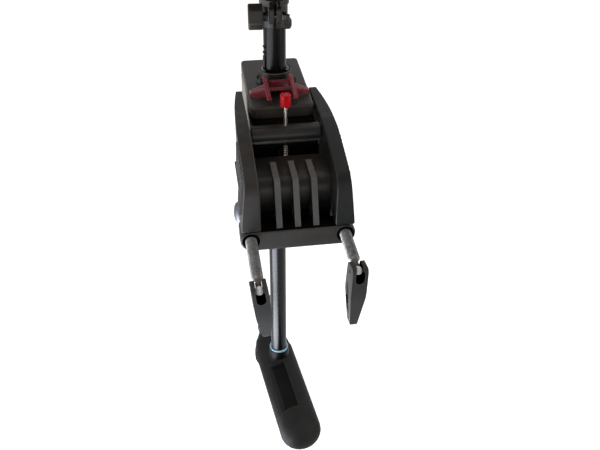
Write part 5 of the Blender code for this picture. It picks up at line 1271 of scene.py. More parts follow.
        def chafed(face: Face) -> int:
            """Finds the faces painted pale as lit, which are also chafed.

            Args:
                face: a face of the piece.

            Returns:
                1 on the cover's sides, the cup's rim and its foot's brim, else 0.
            """
            x, y, z = face.center
            reach = math.hypot(x, y - SHAFT_Y)
            on_foot = reach > skirt - 0.0013 and z > foot - 0.0011
            on_rim = bore < reach < outer and z > top - 0.0003
            on_side = abs(x) > half - TRACE and abs(face.normal.x) > 0.99
            return int(on_side or (reach < skirt and (on_foot or on_rim)))

        Bench.paint(piece, chafed, CHAFED_LIT_NYLON)

    def hinge_bar(self) -> None:
        """Turns the hinge bar, with the faint seam of its two halves."""
        radius, end, edge, stub, tip = self.bar_radius, self.bar_end, self.bar_edge, self.stub_radius, self.stub_end
        seam = [(radius - depth, x) for depth, x in zip((0.0, HAIR, HAIR, 0.0), self.seam_x)]
        profile = [(0.0, -tip), (stub, -tip), (stub, -end), (radius - edge, -end), (radius, -end + edge), *seam,
                   (radius, end - edge), (radius - edge, end), (stub, end), (stub, tip), (0.0, tip)]
        piece = Bench.lathe("hinge_barrel", profile, Axis.X, self.pivot, 72)
        Bench.cut(piece, Bench.rod("rod_hole", self.rod_hole, self.rod_through, Axis.Z, self.plunger_foot, 32))
        Bench.finish(piece, SLEEK_NYLON, "tilt_head", "hinge_bar", slot="black_plastic", smooth=30)

    def spring(self) -> None:
        """Winds the return spring, with closed ends, as a tube along its helix."""
        Bench.rest()
        curve = bpy.data.curves.new("return_spring", "CURVE")
        curve.dimensions = "3D"
        curve.bevel_depth = self.spring_wire / 2
        curve.bevel_resolution = 3
        curve.use_fill_caps = True
        spline = curve.splines.new("POLY")
        low, high = self.spring_low + self.spring_wire / 2, self.spring_high - self.spring_wire / 2
        rows = self.spring_turns * self.spring_steps
        spline.points.add(rows)
        for row, point in enumerate(spline.points):
            turn = math.tau * row / self.spring_steps
            point.co = (self.spring_radius * math.cos(turn), self.pivot[1] + self.spring_radius * math.sin(turn),
                        low + (high - low) * row / rows, 1.0)
        piece = bpy.data.objects.new("return_spring", curve)
        bpy.context.scene.collection.objects.link(piece)
        Bench.take(piece)
        bpy.ops.object.convert(target="MESH")
        piece = bpy.context.object
        bpy.ops.object.mode_set(mode="EDIT")
        Bench.heal()
        Bench.finish(piece, PALE_GLINT_WIRE, "tilt_head", "release_spring", slot="zinc_steel", smooth=60)
        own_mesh(piece)

    def guard(self) -> None:
        """Adds black walls of painted shade behind the spring and under the lip, and the frame's side walls painted
        pale as lit; dresses the frame black as painted shade.
        """
        # A black wall of painted shade behind the spring and a black skirt under the lip.
        plate = block(*self.guard_y, *self.guard_z, self.guard_round, 2)
        piece = Bench.prism("spring_guard", plate, Axis.X, -self.guard_half, self.guard_half)
        skirt = block(*self.skirt_y, *self.skirt_z, self.guard_round, 2)
        Bench.join(piece, Bench.prism("lip_skirt", skirt, Axis.X, -self.skirt_half, self.skirt_half))
        Bench.finish(piece, SHADE_BLACK_NYLON, "tilt_head", slot="black_plastic")
        # The frame is dressed black as painted shade.
        frame_piece = Bench.twin("tilt_frame", "frame_casting")
        lip = block(0.0, self.lip_front, *self.lip_trim, 0.0)
        Bench.cut(frame_piece, Bench.prism("lip_trim", lip, Axis.X, -self.lip_half, self.lip_half))
        Bench.finish(frame_piece, SHADE_BLACK_NYLON, "tilt_head", "tilt_frame", slot="black_plastic", smooth=30)
        # The frame's side walls are painted pale as lit from the left.
        outline = block(*self.side_y, *self.side_z, self.side_round, 5)
        for side in Side:
            ends = side.span(self.half_width - self.side_thick, self.half_width)
            wall = Bench.prism(f"{side.label}_frame_side", outline, Axis.X, *ends)
            Bench.finish(Bench.soften(wall, self.side_edge, 2), CHALKED_LIT_ALUMINIUM, "tilt_head", slot="grey_plastic")

    def knob(self) -> None:
        """Turns the pull knob; the dish in its top is bleached."""
        radius, low, top = self.knob_radius, self.knob_low, self.knob_top
        dish, floor, socket = self.knob_dish, top - self.knob_dish_depth, self.rod_top + self.rod_gap
        profile = [(0.0, floor), (dish - 0.0006, floor), (dish, floor + 0.0005), (dish + 0.0004, top - 0.0002),
                   (dish + 0.0009, top), (radius - 0.0009, top), (radius - 0.0003, top - 0.0002),
                   (radius, top - 0.0009), (radius, low + 0.0010), (radius - 0.0003, low + 0.0003),
                   (radius - 0.0010, low), (self.rod_hole, low), (self.rod_hole, socket), (0.0, socket)]
        piece = Bench.lathe("pull_knob", profile, Axis.Z, self.plunger_foot, 64)
        Bench.finish(piece, RED_PLASTIC, "release_plunger", "release_knob", slot="red_plastic", smooth=35)

        def bleached(face: Face) -> int:
            """Tells the dish's floor from the rest."""
            reach = math.hypot(face.center.x, face.center.y - self.pivot[1])
            return int(reach < dish - 0.0003 and face.center.z > socket + HAIR)

        Bench.paint(piece, bleached, FADED_RED)

    def rod(self) -> None:
        """Turns the plunger's stepped rod."""
        radius, step, thin, tip = self.rod_radius, self.rod_step, self.rod_tip_radius, self.rod_tip
        edge, flange, (low, high) = self.rod_edge, self.flange_radius, self.flange_z
        profile = [(0.0, self.rod_top), (radius, self.rod_top), (radius, step), (thin, step), (thin, high),
                   (flange, high), (flange, low), (thin, low), (thin, tip + edge), (thin - edge, tip), (0.0, tip)]
        piece = Bench.lathe("plunger_rod", profile, Axis.Z, self.plunger_foot, 40)
        Bench.finish(piece, BRIGHT_STEEL, "release_plunger", "release_rod", slot="zinc_steel")
        # The thin part inside the spring is painted dark as shade.
        Bench.paint(piece, lambda face: int(face.center.z < step + TRACE), DARK_STEEL)


@dataclass
class LockLever:
    """The maroon steering lock lever: two grooved ribs, a dished bar and drooping ridged wings."""

    bar: Corners = ((-0.0045, 0.0026, 0.0008), (-0.0066, 0.0038, 0.0012), (-0.0090, 0.0020, 0.004),
                    (-0.0170, 0.0000, 0.020), (-0.0245, 0.0016, 0.006), (-0.0266, 0.0020, 0.0008),
                    (-0.0272, -0.0030, 0.001), (-0.0222, -0.0044, 0.003), (-0.0045, -0.0030, 0.0008))
    bar_inset: float = 0.0005
    dish_y: Pair = (-0.0238, -0.0092)
    rib_x: float = 0.0185
    rib_width: float = 0.0060
    rib_length: float = 0.058
    rib_edge: float = 0.0011
    rib_heel: float = 0.0037
    rib_under: float = -0.0023
    rib_throat: float = 0.0092
    back_start: float = 0.0046
    back_height: float = 0.0085
    nose_top: float = 0.0010
    nose_bottom: float = -0.0035
    barrel: float = 0.0046
    barrel_inset: Pair = (0.0010, 0.0006)
    groove_half: float = 0.0005
    groove_y: Pair = (-0.0030, -0.0060)
    groove_stop: float = 0.004
    groove_sink: float = 0.0008
    groove_open: float = 0.01
    wing_x: float = 0.042
    wing_root: float = 0.0008
    wing_root_y: Pair = (-0.0110, -0.0305)
    wing_tip_y: Pair = (-0.0140, -0.0238)
    wing_z: Pair = (-0.0012, 0.0021)
    wing_edge: float = 0.0006
    droop: float = 0.0085
    ridge_count: int = 3
    ridge_z: Pair = (0.0010, 0.0028)
    ridge_root: Pair = (-0.0125, 0.0165)
    ridge_tip: Pair = (-0.0148, 0.0080)
    ridge_short: float = 0.001
    ridge_widths: Pair = (0.0011, 0.0009)
    tip_thick: float = 0.0016
    tip_y: Pair = (-0.0242, -0.0136)
    tip_half: float = 0.0026
    skirt_z: Pair = (-0.0108, 0.0005)
    skirt_short: float = 0.0008
    skirt_back: Pair = (-0.0286, -0.0222)
    skirt_face: Pair = (-0.0301, -0.0234)
    painted_z: Pair = (0.0018, 0.0024)

    @property
    def root(self) -> float:
        """How far out the wings start."""
        return self.rib_x + self.wing_root

    def sag(self, x: float) -> float:
        """Returns how far a wing droops at a distance from the middle."""
        return self.droop * max(abs(x) - self.root, 0.0) / (self.wing_x - self.root)

    def build(self) -> None:
        """Moulds the lever in one piece."""
        half = self.rib_width / 2
        ends = (self.bar_inset - self.rib_x, self.rib_x - self.bar_inset)
        piece = Bench.prism("lock_lever_moulding", rounded(self.bar), Axis.X, *ends)
        inner, outer = self.rib_x - half - self.barrel_inset[0], self.rib_x + half - self.barrel_inset[1]
        for side in Side:
            barrel = Bench.rod("lever_barrel", self.barrel, side.span(inner, outer), Axis.X, steps=36)
            Bench.join(piece, barrel, self.wing(side), self.rib(side))
        Bench.cut(piece, Bench.rod("lever_bore", LEVER_BORE, THROUGH, Axis.X, steps=24))
        Bench.finish(piece, MAROON_PLASTIC, "lock_lever", "steering_lock_lever",
                     place=Matrix.Translation(LEVER_PIVOT), slot="maroon_plastic", smooth=32)
        floor, ridge = self.painted_z

        def coat(face: Face) -> int:
            """Picks the finish of a face.

            Args:
                face: a face of the piece.

            Returns:
                1 on a wing's ridges, 2 between them and in the bar's dish, painted dark as shade, else 0.
            """
            x, y, z = face.center - Vector(LEVER_PIVOT)
            height = z + self.sag(x)
            on_wing = abs(x) > self.rib_x + half + 0.0004
            dished = abs(x) < self.rib_x - half and self.dish_y[0] < y < self.dish_y[1]
            if face.normal.z <= 0.6:
                return 0
            if dished or (on_wing and floor < height < ridge):
                return 2
            return int(on_wing and height > ridge)

        Bench.paint(piece, coat, PINKED_PLASTIC, SHADED_PLASTIC)

    def rib(self, side: Side) -> Piece:
        """Moulds a rib with rounded edges and a groove along its back.

        Args:
            side: the side it stands on.

        Returns:
            The rib.
        """
        heel, under, start, back = self.rib_heel, self.rib_under, self.back_start, self.back_height
        long = self.rib_length
        outline = rounded([(heel, under, 0.001), (heel, back, 0.0022), (-start, back, 0.010),
                           (-long, self.nose_top, 0.0020), (-long, self.nose_bottom, 0.0020),
                           (-self.rib_throat, under, 0.010)])
        middle, half, narrow = side.value * self.rib_x, self.rib_width / 2, self.groove_half
        rib = Bench.prism("lever_rib", outline, Axis.X, middle - half, middle + half)
        Bench.soften(rib, self.rib_edge, 3)
        drop = (back - self.nose_top) / (long - start)
        lift = back - self.groove_sink
        (near, bend), far = self.groove_y, -long + self.groove_stop
        groove = [(near, lift + self.groove_open), (near, lift), (bend, lift - HAIR),
                  (far, lift - drop * (-far - start)), (far, lift + self.groove_open)]
        return Bench.cut(rib, Bench.prism("rib_groove", groove, Axis.X, middle - narrow, middle + narrow))

    def wing(self, side: Side) -> Piece:
        """Moulds a wing: a drooping tapered plate with ridges, an upright tip and a skirt under its front.

        Args:
            side: the side it points to.

        Returns:
            The wing.
        """
        root, end = self.root, self.wing_x
        plate = rounded([(root, self.wing_root_y[0], 0.0), (end, self.wing_tip_y[0], 0.0012),
                         (end, self.wing_tip_y[1], 0.0012), (root, self.wing_root_y[1], 0.0)])
        wing = Bench.prism("lever_wing", side.mirror(plate), Axis.Z, *self.wing_z)
        Bench.soften(wing, self.wing_edge, 2)
        for index in range(self.ridge_count):
            share = (index + 0.5) / self.ridge_count
            y_root, y_tip = (start - run * share for start, run in (self.ridge_root, self.ridge_tip))
            stop, (wide, narrow) = end - self.ridge_short, self.ridge_widths
            ridge = [(root, y_root), (stop, y_tip), (stop, y_tip - narrow), (root, y_root - wide)]
            Bench.join(wing, Bench.prism("wing_ridge", side.mirror(ridge), Axis.Z, *self.ridge_z))
        (low, high), half = self.tip_y, self.tip_half
        tip = rounded([(high, half, 0.001), (low, half, 0.001), (low, -half, 0.001), (high, -half, 0.001)], 4)
        Bench.join(wing, Bench.prism("wing_tip", tip, Axis.X, *side.span(end - self.tip_thick, end)))
        Bench.shape(wing, lambda p: p - Vector((0.0, 0.0, self.sag(p.x))))
        stop, (back, tip_back), (face, tip_face) = end - self.skirt_short, self.skirt_back, self.skirt_face
        front = [(root, back), (stop, tip_back), (stop, tip_face), (root, face)]
        skirt = Bench.prism("wing_skirt", side.mirror(front), Axis.Z, *self.skirt_z)
        Bench.shape(skirt, lambda p: p if p.z < 0 else p - Vector((0.0, 0.0, self.sag(p.x))))
        return Bench.join(wing, skirt)


@dataclass
class SteeringColumn:
    """The steering sleeve, the split depth collar above it and the main shaft."""

    shaft_radius: float = 0.0143
    shaft_wall: float = 0.0030
    shaft_z: Pair = (-0.5118, 0.246)
    sleeve_radius: float = 0.0161
    sleeve_bore: float = 0.0146
    sleeve_z: Pair = (-0.240, 0.150)
    shoulder_radius: float = 0.0216
    shoulder_z: Pair = (0.0713, 0.0743)
    shoulder_edge: float = 0.0004
    washer_inner: float = 0.0168
    washer_inset: float = 0.0006
    washer_rise: float = 0.0006
    dust_y: float = -0.0100
    strip_angle: float = 196.0
    strip_top: float = 0.0960
    strip_half: float = 0.0030
    strip_sunk: float = 0.0005
    strip_round: float = 0.0006
    strip_radial: Pair = (0.001, 0.0013)
    strip_gaps: tuple[Pair, ...] = ((0.0030, 0.0066), (0.0120, 0.0150))
    collar_turn: float = -4.4
    collar_radius: float = 0.0190
    collar_z: Pair = (0.1405, 0.180)
    flange_radius: float = 0.0247
    flange_z: Pair = (0.1365, 0.1475)
    flange_front: float = -0.0100
    lip_radius: float = 0.0208
    lip_z: float = 0.171
    slit_half: float = 0.0021
    cutter: float = 0.06
    seat_gap: float = 0.0003
    gusset_inner: float = 0.0035
    gusset_inset: float = 0.0012
    gusset_drop: float = 0.004
    gusset_edge: float = 0.0005
    ear_round: float = 0.005
    ear_edge: float = 0.0010
    ear_half: float = 0.0090
    ear_reach: float = 0.035
    ear_z: Pair = (0.152, 0.174)
    ear_screw: Pair = (-0.030, 0.162)
    ear_hole: float = 0.0033
    ear_through: Pair = (-0.04, 0.04)
    disc_radius: float = 0.0074
    disc_thick: float = 0.0009

    def build(self) -> None:
        """Makes the sleeve, the collar and the shaft."""
        self.shaft()
        self.sleeve()
        self.collar()
        self.collar_washers()

    def shaft(self) -> None:
        """Draws the shaft tube."""
        radii = (self.shaft_radius - self.shaft_wall, self.shaft_radius)
        piece = Bench.ring("shaft_tube", radii, self.shaft_z, Axis.Z, SHAFT_FOOT)
        Bench.finish(piece, COMPOSITE_TUBE, "shaft", "main_shaft", slot="gloss_black")

    def sleeve(self) -> None:
        """Turns the sleeve with its shoulder, the pale thrust washer and the strip up its side."""
        low, high = self.sleeve_z
        radius, shoulder, bore = self.sleeve_radius, self.shoulder_radius, self.sleeve_bore
        (under, over), edge = self.shoulder_z, self.shoulder_edge
        profile = [(bore, low), (radius, low), (radius, under), (shoulder, under), (shoulder, over - edge),
                   (shoulder - edge, over), (radius, over), (radius, high), (bore, high)]
        piece = Bench.lathe("sleeve_tube", profile, Axis.Z, SHAFT_FOOT, 96)
        stops = [(over - self.strip_sunk, self.strip_top)]
        stops += [(self.strip_top + start, self.strip_top + end) for start, end in self.strip_gaps]
        sunk, proud = self.strip_radial
        for ends in stops:
            outline = block(radius - sunk, radius + proud, *ends, self.strip_round, 3)
            strip = Bench.prism("sleeve_strip", outline, Axis.Y, -self.strip_half, self.strip_half)
            Bench.join(piece, Bench.settle(strip, on_shaft(self.strip_angle)))
        Bench.finish(piece, SATIN_TUBE, "sleeve", "steering_sleeve", slot="gloss_black", smooth=30)
        floor = over + TRACE
        radii = (self.washer_inner, shoulder - self.washer_inset)
        washer = Bench.ring("thrust_washer", radii, (floor, floor + self.washer_rise), Axis.Z, SHAFT_FOOT)
        # The washer's front under the cup's rim is painted black as shade; the rest is pale nylon.
        Bench.finish(washer, SHADE_BLACK_NYLON, "sleeve", slot="grey_plastic")
        Bench.paint(washer, lambda face: int(face.center.y > SHAFT_Y + self.dust_y), PALE_NYLON)

    @property
    def collar_place(self) -> Matrix:
        """The collar's own frame on the shaft's axis."""
        return on_shaft(self.collar_turn)

    def collar(self) -> None:
        """Moulds the split collar: flange, lip, gusseted ears and the slit."""
        low, high = self.collar_z
        bottom, top = self.flange_z
        body, flange, lip, far = self.collar_radius, self.flange_radius, self.lip_radius, self.cutter
        profile = [(0.0, low), (body - 0.0005, low), (body, low + 0.0005), (body, self.lip_z - 0.0012),
                   (lip - 0.0004, self.lip_z), (lip, self.lip_z + 0.0006), (lip, high - 0.0006), (lip - 0.0006, high),
                   (0.0, high)]
        piece = Bench.lathe("split_collar", profile, Axis.Z, steps=96)
        disc = [(0.0, bottom), (flange - 0.0022, bottom), (flange - 0.0006, bottom + 0.0010),
                (flange, bottom + 0.0026), (flange, top - 0.0026), (flange - 0.0006, top - 0.0010),
                (flange - 0.0022, top), (0.0, top)]
        ring = Bench.lathe("collar_flange", disc, Axis.Z, steps=90)
        trim = block(-far, self.flange_front, bottom - 0.01, top + 0.01, 0.0)
        Bench.join(piece, Bench.cut(ring, Bench.prism("flange_trim", trim, Axis.X, -far, far)))
        root = -(self.sleeve_radius + self.collar_radius) / 2
        reach, shelf = -self.ear_reach, self.ear_z[1] - self.gusset_drop
        outline = block(reach, root, *self.ear_z, self.ear_round, 8)
        ears = Bench.prism("collar_ears", outline, Axis.X, -self.ear_half, self.ear_half)
        Bench.join(piece, Bench.soften(ears, self.ear_edge, 3))
        gusset = rounded([(root, shelf, 0.0), (reach + 0.004, shelf, 0.0),
                          (-self.lip_radius - 0.0030, self.lip_z + 0.0070, 0.004), (root, high - 0.0012, 0.0)])
        for side in Side:
            ends = side.span(self.gusset_inner, self.ear_half - self.gusset_inset)
            Bench.join(piece, Bench.soften(Bench.prism("ear_gusset", gusset, Axis.X, *ends), self.gusset_edge, 2))
        seat, seat_top = self.sleeve_radius + self.seat_gap, self.sleeve_z[1] + self.seat_gap
        bore = [(0.0, bottom - 0.01), (seat, bottom - 0.01), (seat, seat_top), (self.sleeve_bore, seat_top),
                (self.sleeve_bore, high + 0.01), (0.0, high + 0.01)]
        Bench.cut(piece, Bench.lathe("collar_bore", bore, Axis.Z, steps=90))
        slit = block(-far, 0.0, low - 0.02, high + 0.02, 0.0)
        Bench.cut(piece, Bench.prism("collar_slit", slit, Axis.X, -self.slit_half, self.slit_half))
        Bench.cut(piece, Bench.rod("ear_hole", self.ear_hole, self.ear_through, Axis.X, (0.0, *self.ear_screw), 32))
        Bench.finish(piece, BLACK_NYLON, "sleeve", "depth_collar", place=self.collar_place, slot="black_plastic",
                     smooth=30)

        def bloomed(face: Face) -> int:
            """Finds the faces painted pale as lit from the left.

            Args:
                face: a face of the piece.

            Returns:
                1 on the left side of the ears and the gusset, else 0.
            """
            _, y, z = face.center
            flank = face.normal.x < -0.5 and y < SHAFT_Y + root + 0.002
            level = self.ear_z[0] + 0.011 < z < self.lip_z + 0.008
            return int(flank or (face.normal.x < -0.35 and y < SHAFT_Y - 0.003 and level))

        Bench.paint(piece, bloomed, LIT_FLANK_NYLON)

    def collar_washers(self) -> None:
        """Adds the bright washers under the collar's nut and knob."""
        near = self.ear_half + TRACE
        for side in Side:
            piece = Bench.ring(f"{side.label}_collar_washer", (self.ear_hole, self.disc_radius),
                               side.span(near, near + self.disc_thick), Axis.X, (0.0, *self.ear_screw), 40)
            Bench.finish(piece, POLISHED_ZINC, "sleeve", place=self.collar_place, slot="zinc_steel")


@dataclass
class MotorPod:
    """The motor's outside: housing with its skeg, nose, end bell, neck ring and bolts."""

    turn: float = 6.46
    axis_z: float = -0.5405
    radius: float = 0.0361
    solid_radius: float = 0.0347
    tail_share: float = 0.985
    bore: float = 0.0277
    tube: Pair = (-0.137, 0.039)
    neck_radius: float = 0.0184
    neck_top: float = -0.4897
    neck_fillet: float = 0.002
    shaft_hole: float = 0.0146
    neck_rim: float = 0.0034
    recess_x: Pair = (-0.0126, 0.0118)
    bevel: Pair = (0.0090, 0.0021)
    recess_roll: float = -14.5
    recess_y: Pair = (-0.133, -0.024)
    recess_depth: float = 0.0074
    skeg_half: float = 0.0025
    skeg_y: Pair = (-0.030, 0.036)
    skeg_drop: float = 0.044
    skeg_tip: float = 0.026
    skeg_edge: float = 0.0012
    tube_rim: float = 0.0006
    cutter: float = 0.01
    bell_face: float = 0.0393
    ring_radius: float = 0.0172
    ring_height: float = 0.0057
    ring_edge: float = 0.0008
    bolt_reach: float = 0.0215
    bolt_rise: float = 0.55
    bolt_seat: float = 0.0235
    bolt_radii: Pair = (0.0028, 0.0034)
    bolt_heights: Pair = (0.0062, 0.0070)

    @property
    def place(self) -> Matrix:
        """The shaft's own frame, turned as the pod is steered in the picture."""
        return on_shaft(self.turn)

    def build(self) -> None:
        """Makes the pod's pieces."""
        self.housing()
        self.nose()
        self.neck_ring()

    def housing(self) -> None:
        """Turns the housing, then adds the neck and skeg and sinks the flat recess on top."""
        start, end = self.tube
        radius, rim, axis = self.radius, self.tube_rim, (0.0, 0.0, self.axis_z)
        profile = [(0.0, start), (radius - rim, start), (radius, start + rim), (radius, end - rim),
                   (radius - rim, end), (0.0, end)]
        piece = Bench.lathe("pod_tube", profile, Axis.Y, axis, 120)
        root, brim = self.axis_z + self.bore + 0.003, self.neck_top + self.neck_rim
        swell = [(self.neck_radius + self.neck_fillet * (1 - math.sin(turn)),
                  self.axis_z + radius - 0.0015 + self.neck_fillet * (1 - math.cos(turn)))
                 for turn in (math.radians(15 * step) for step in range(7))]
        neck = [(0.0, root), (swell[0][0], root), *swell, (self.neck_radius, brim - rim),
                (self.neck_radius - rim, brim), (0.0, brim)]
        Bench.join(piece, Bench.lathe("pod_neck", neck, Axis.Z, steps=96))
        under, keel = self.axis_z - self.bore - 0.004, self.axis_z - radius - self.skeg_drop
        lead, trail = self.skeg_y
        skeg = rounded([(lead, under, 0.0), (trail, under, 0.0), (trail, keel, 0.004),
                        (trail - self.skeg_tip, keel, 0.008)])
        fin = Bench.prism("skeg", skeg, Axis.X, -self.skeg_half, self.skeg_half)
        Bench.join(piece, Bench.soften(fin, self.skeg_edge, 3))
        floor = self.axis_z + radius - self.recess_depth
        left, right = self.recess_x
        slope = left - self.bevel[0]
        section = [(slope, floor + self.bevel[1]), (left, floor), (right, floor), (right, 0.0), (slope, 0.0)]
        tool = Bench.prism("flat_recess", section, Axis.Y, *self.recess_y)
        hub = Matrix.Translation(axis)
        roll = hub @ turned(self.recess_roll, Axis.Y) @ hub.inverted()
        Bench.cut(piece, Bench.settle(tool, roll))
        Bench.cut(piece, Bench.rod("pod_room", self.bore, (start - self.cutter, end + self.cutter), Axis.Y, axis))
        Bench.cut(piece, Bench.rod("shaft_hole", self.shaft_hole, (self.axis_z, 0.0)))
        Bench.cut(piece, Bench.rod("ring_socket", self.ring_radius + TRACE, (self.neck_top, brim + self.cutter),
                                   steps=90))
        Bench.finish(piece, POD_PAINT, "shaft", "pod_housing", place=self.place, slot="painted_pod", smooth=30)
        back = (self.place @ roll).inverted()
        near, far = self.recess_y

        def coat(face: Face) -> int:
            """Picks the finish of a face.

            Args:
                face: a face of the piece.

            Returns:
                1 on the recess's floor, painted darker as shade, 2 on its upright wall, painted black as shade, 3 on
                the neck, else 0.
            """
            x, y, z = back @ face.center
            if face.center.z > self.axis_z + radius + 0.002:
                return 3
            # Painted shade: darker on the recess's floor, black on its upright wall.
            if near - TRACE < y < far + TRACE and abs(z - floor) < TRACE and left - TRACE < x < right + TRACE:
                return 1
            return 2 if near < y < far and abs(x - right) < TRACE and z > floor else 0

        Bench.paint(piece, coat, RECESS_SHADE_PAINT, SHADE_BLACK_NYLON, NECK_PAINT)

    def nose(self) -> None:
        """Dresses the nose cone and the end bell, and adds the end bell's through bolts."""
        hub = self.place @ Matrix.Translation((0.0, 0.0, self.axis_z))
        home = hub.inverted()
        for node, name, share in (("nose_cone", "nose_dome", self.radius / self.solid_radius),
                                  ("end_bell", "tail_bell", self.tail_share)):
            grow = hub @ Matrix.Diagonal((share, 1.0, share, 1.0)) @ home
            piece = Bench.shape(Bench.twin(node, name), lambda p, grow=grow: grow @ p)
            Bench.finish(piece, POD_PAINT, "shaft", node, slot="painted_pod", smooth=40)
        face, (narrow, wide), (rim, top) = self.bell_face + self.bolt_seat, self.bolt_radii, self.bolt_heights
        head = [(0.0, face), (wide, face), (wide, face + rim), (narrow, face + top), (0.0, face + top)]
        for side in Side:
            centre = (side.value * self.bolt_reach, 0.0, self.axis_z + self.bolt_reach * self.bolt_rise)
            bolt = Bench.lathe(f"{side.label}_bell_bolt", head, Axis.Y, centre, 6)
            Bench.finish(bolt, ZINC_PLATE, "shaft", place=self.place, slot="zinc_steel", smooth=20)

    def neck_ring(self) -> None:
        """Moulds the blue ring between shaft and pod."""
        low, high = self.neck_top + 0.0003, self.neck_top + self.ring_height
        bore, radius, edge = self.shaft_hole, self.ring_radius, self.ring_edge
        mid = 0.3 * edge
        profile = [(bore, low), (radius - edge, low), (radius - mid, low + mid), (radius, low + edge),
                   (radius, high - edge), (radius - mid, high - mid), (radius - edge, high), (bore, high)]
        piece = Bench.lathe("blue_ring", profile, Axis.Z, steps=96)
        Bench.finish(piece, BLUE_ELASTOMER, "shaft", "neck_ring", place=self.place, slot="blue_rubber", smooth=40)


@dataclass
class Propeller:
    """The two-bladed propeller."""

    pod: MotorPod
    tilt: float = 9.0
    hub_radius: float = 0.0165
    hub_y: Pair = (0.0923, 0.1223)
    hub_edge: float = 0.0012
    hub_dome: float = 0.004
    cutter: float = 0.02
    reach: float = 0.099
    chords: Triple = (0.030, 0.034, 0.014)
    pitches: Pair = (58.0, 24.0)
    thickness: float = 0.0044
    thinning: float = 0.6
    bore: float = 0.0044
    tip_start: float = 0.85
    tip_round: float = 0.75
    edge_thinning: float = 0.85
    root_share: float = 0.6
    rows: int = 14
    columns: int = 8

    def build(self) -> None:
        """Moulds the hub and blades in one piece."""
        low, high = self.hub_y
        radius, edge, dome = self.hub_radius, self.hub_edge, self.hub_dome
        hub = [(0.0, low), (radius - edge, low), (radius, low + edge), (radius, high - dome),
               (radius - edge, high - edge), (radius - dome, high), (0.0, high)]
        piece = Bench.lathe("propeller_moulding", hub, Axis.Y, steps=64)
        for turn in (0.0, 180.0):
            Bench.join(piece, Bench.settle(self.blade(), turned(turn, Axis.Y)))
        Bench.cut(piece, Bench.rod("hub_bore", self.bore, (low - self.cutter, high + self.cutter), Axis.Y, steps=32))
        place = self.pod.place @ Matrix.Translation((0.0, 0.0, self.pod.axis_z)) @ turned(self.tilt, Axis.Y)
        Bench.finish(piece, BLACK_NYLON, "rotor", "propeller", place=place, slot="black_plastic", smooth=40)

    def blade(self) -> Piece:
        """Twists, swells and thins a slab into a blade.

        Returns:
            The blade.
        """
        Bench.rest()
        bpy.ops.mesh.primitive_grid_add(x_subdivisions=self.columns, y_subdivisions=self.rows, size=1.0)
        slab = Bench.modify(bpy.context.object, "SOLIDIFY", thickness=1.0, offset=0.0)
        return Bench.shape(slab, self._twist)

    def _twist(self, point: Vector) -> Vector:
        """Carries a point of the unit slab to the blade.

        Args:
            point: the point.

        Returns:
            Where it goes.
        """
        share, across = point.y + 0.5, 2 * point.x
        root, mid, tip = self.chords
        if share < 0.5:
            chord = root + (mid - root) * math.sin(math.pi * share)
        else:
            chord = mid + (tip - mid) * (2 * share - 1) ** 2
        past = max((share - self.tip_start) / (1 - self.tip_start), 0.0)
        chord *= math.sqrt(max(1 - past ** 2 * self.tip_round, 0.0))
        pitch = math.radians(self.pitches[0] + (self.pitches[1] - self.pitches[0]) * math.sqrt(share))
        along = chord / 2 * across
        lift = self.thickness * (1 - self.thinning * share) * (1 - self.edge_thinning * across ** 2) * point.z
        inner = self.hub_radius * self.root_share
        return Vector((along * math.cos(pitch) - lift * math.sin(pitch),
                       sum(self.hub_y) / 2 + along * math.sin(pitch) + lift * math.cos(pitch),
                       inner + (self.reach - inner) * share))


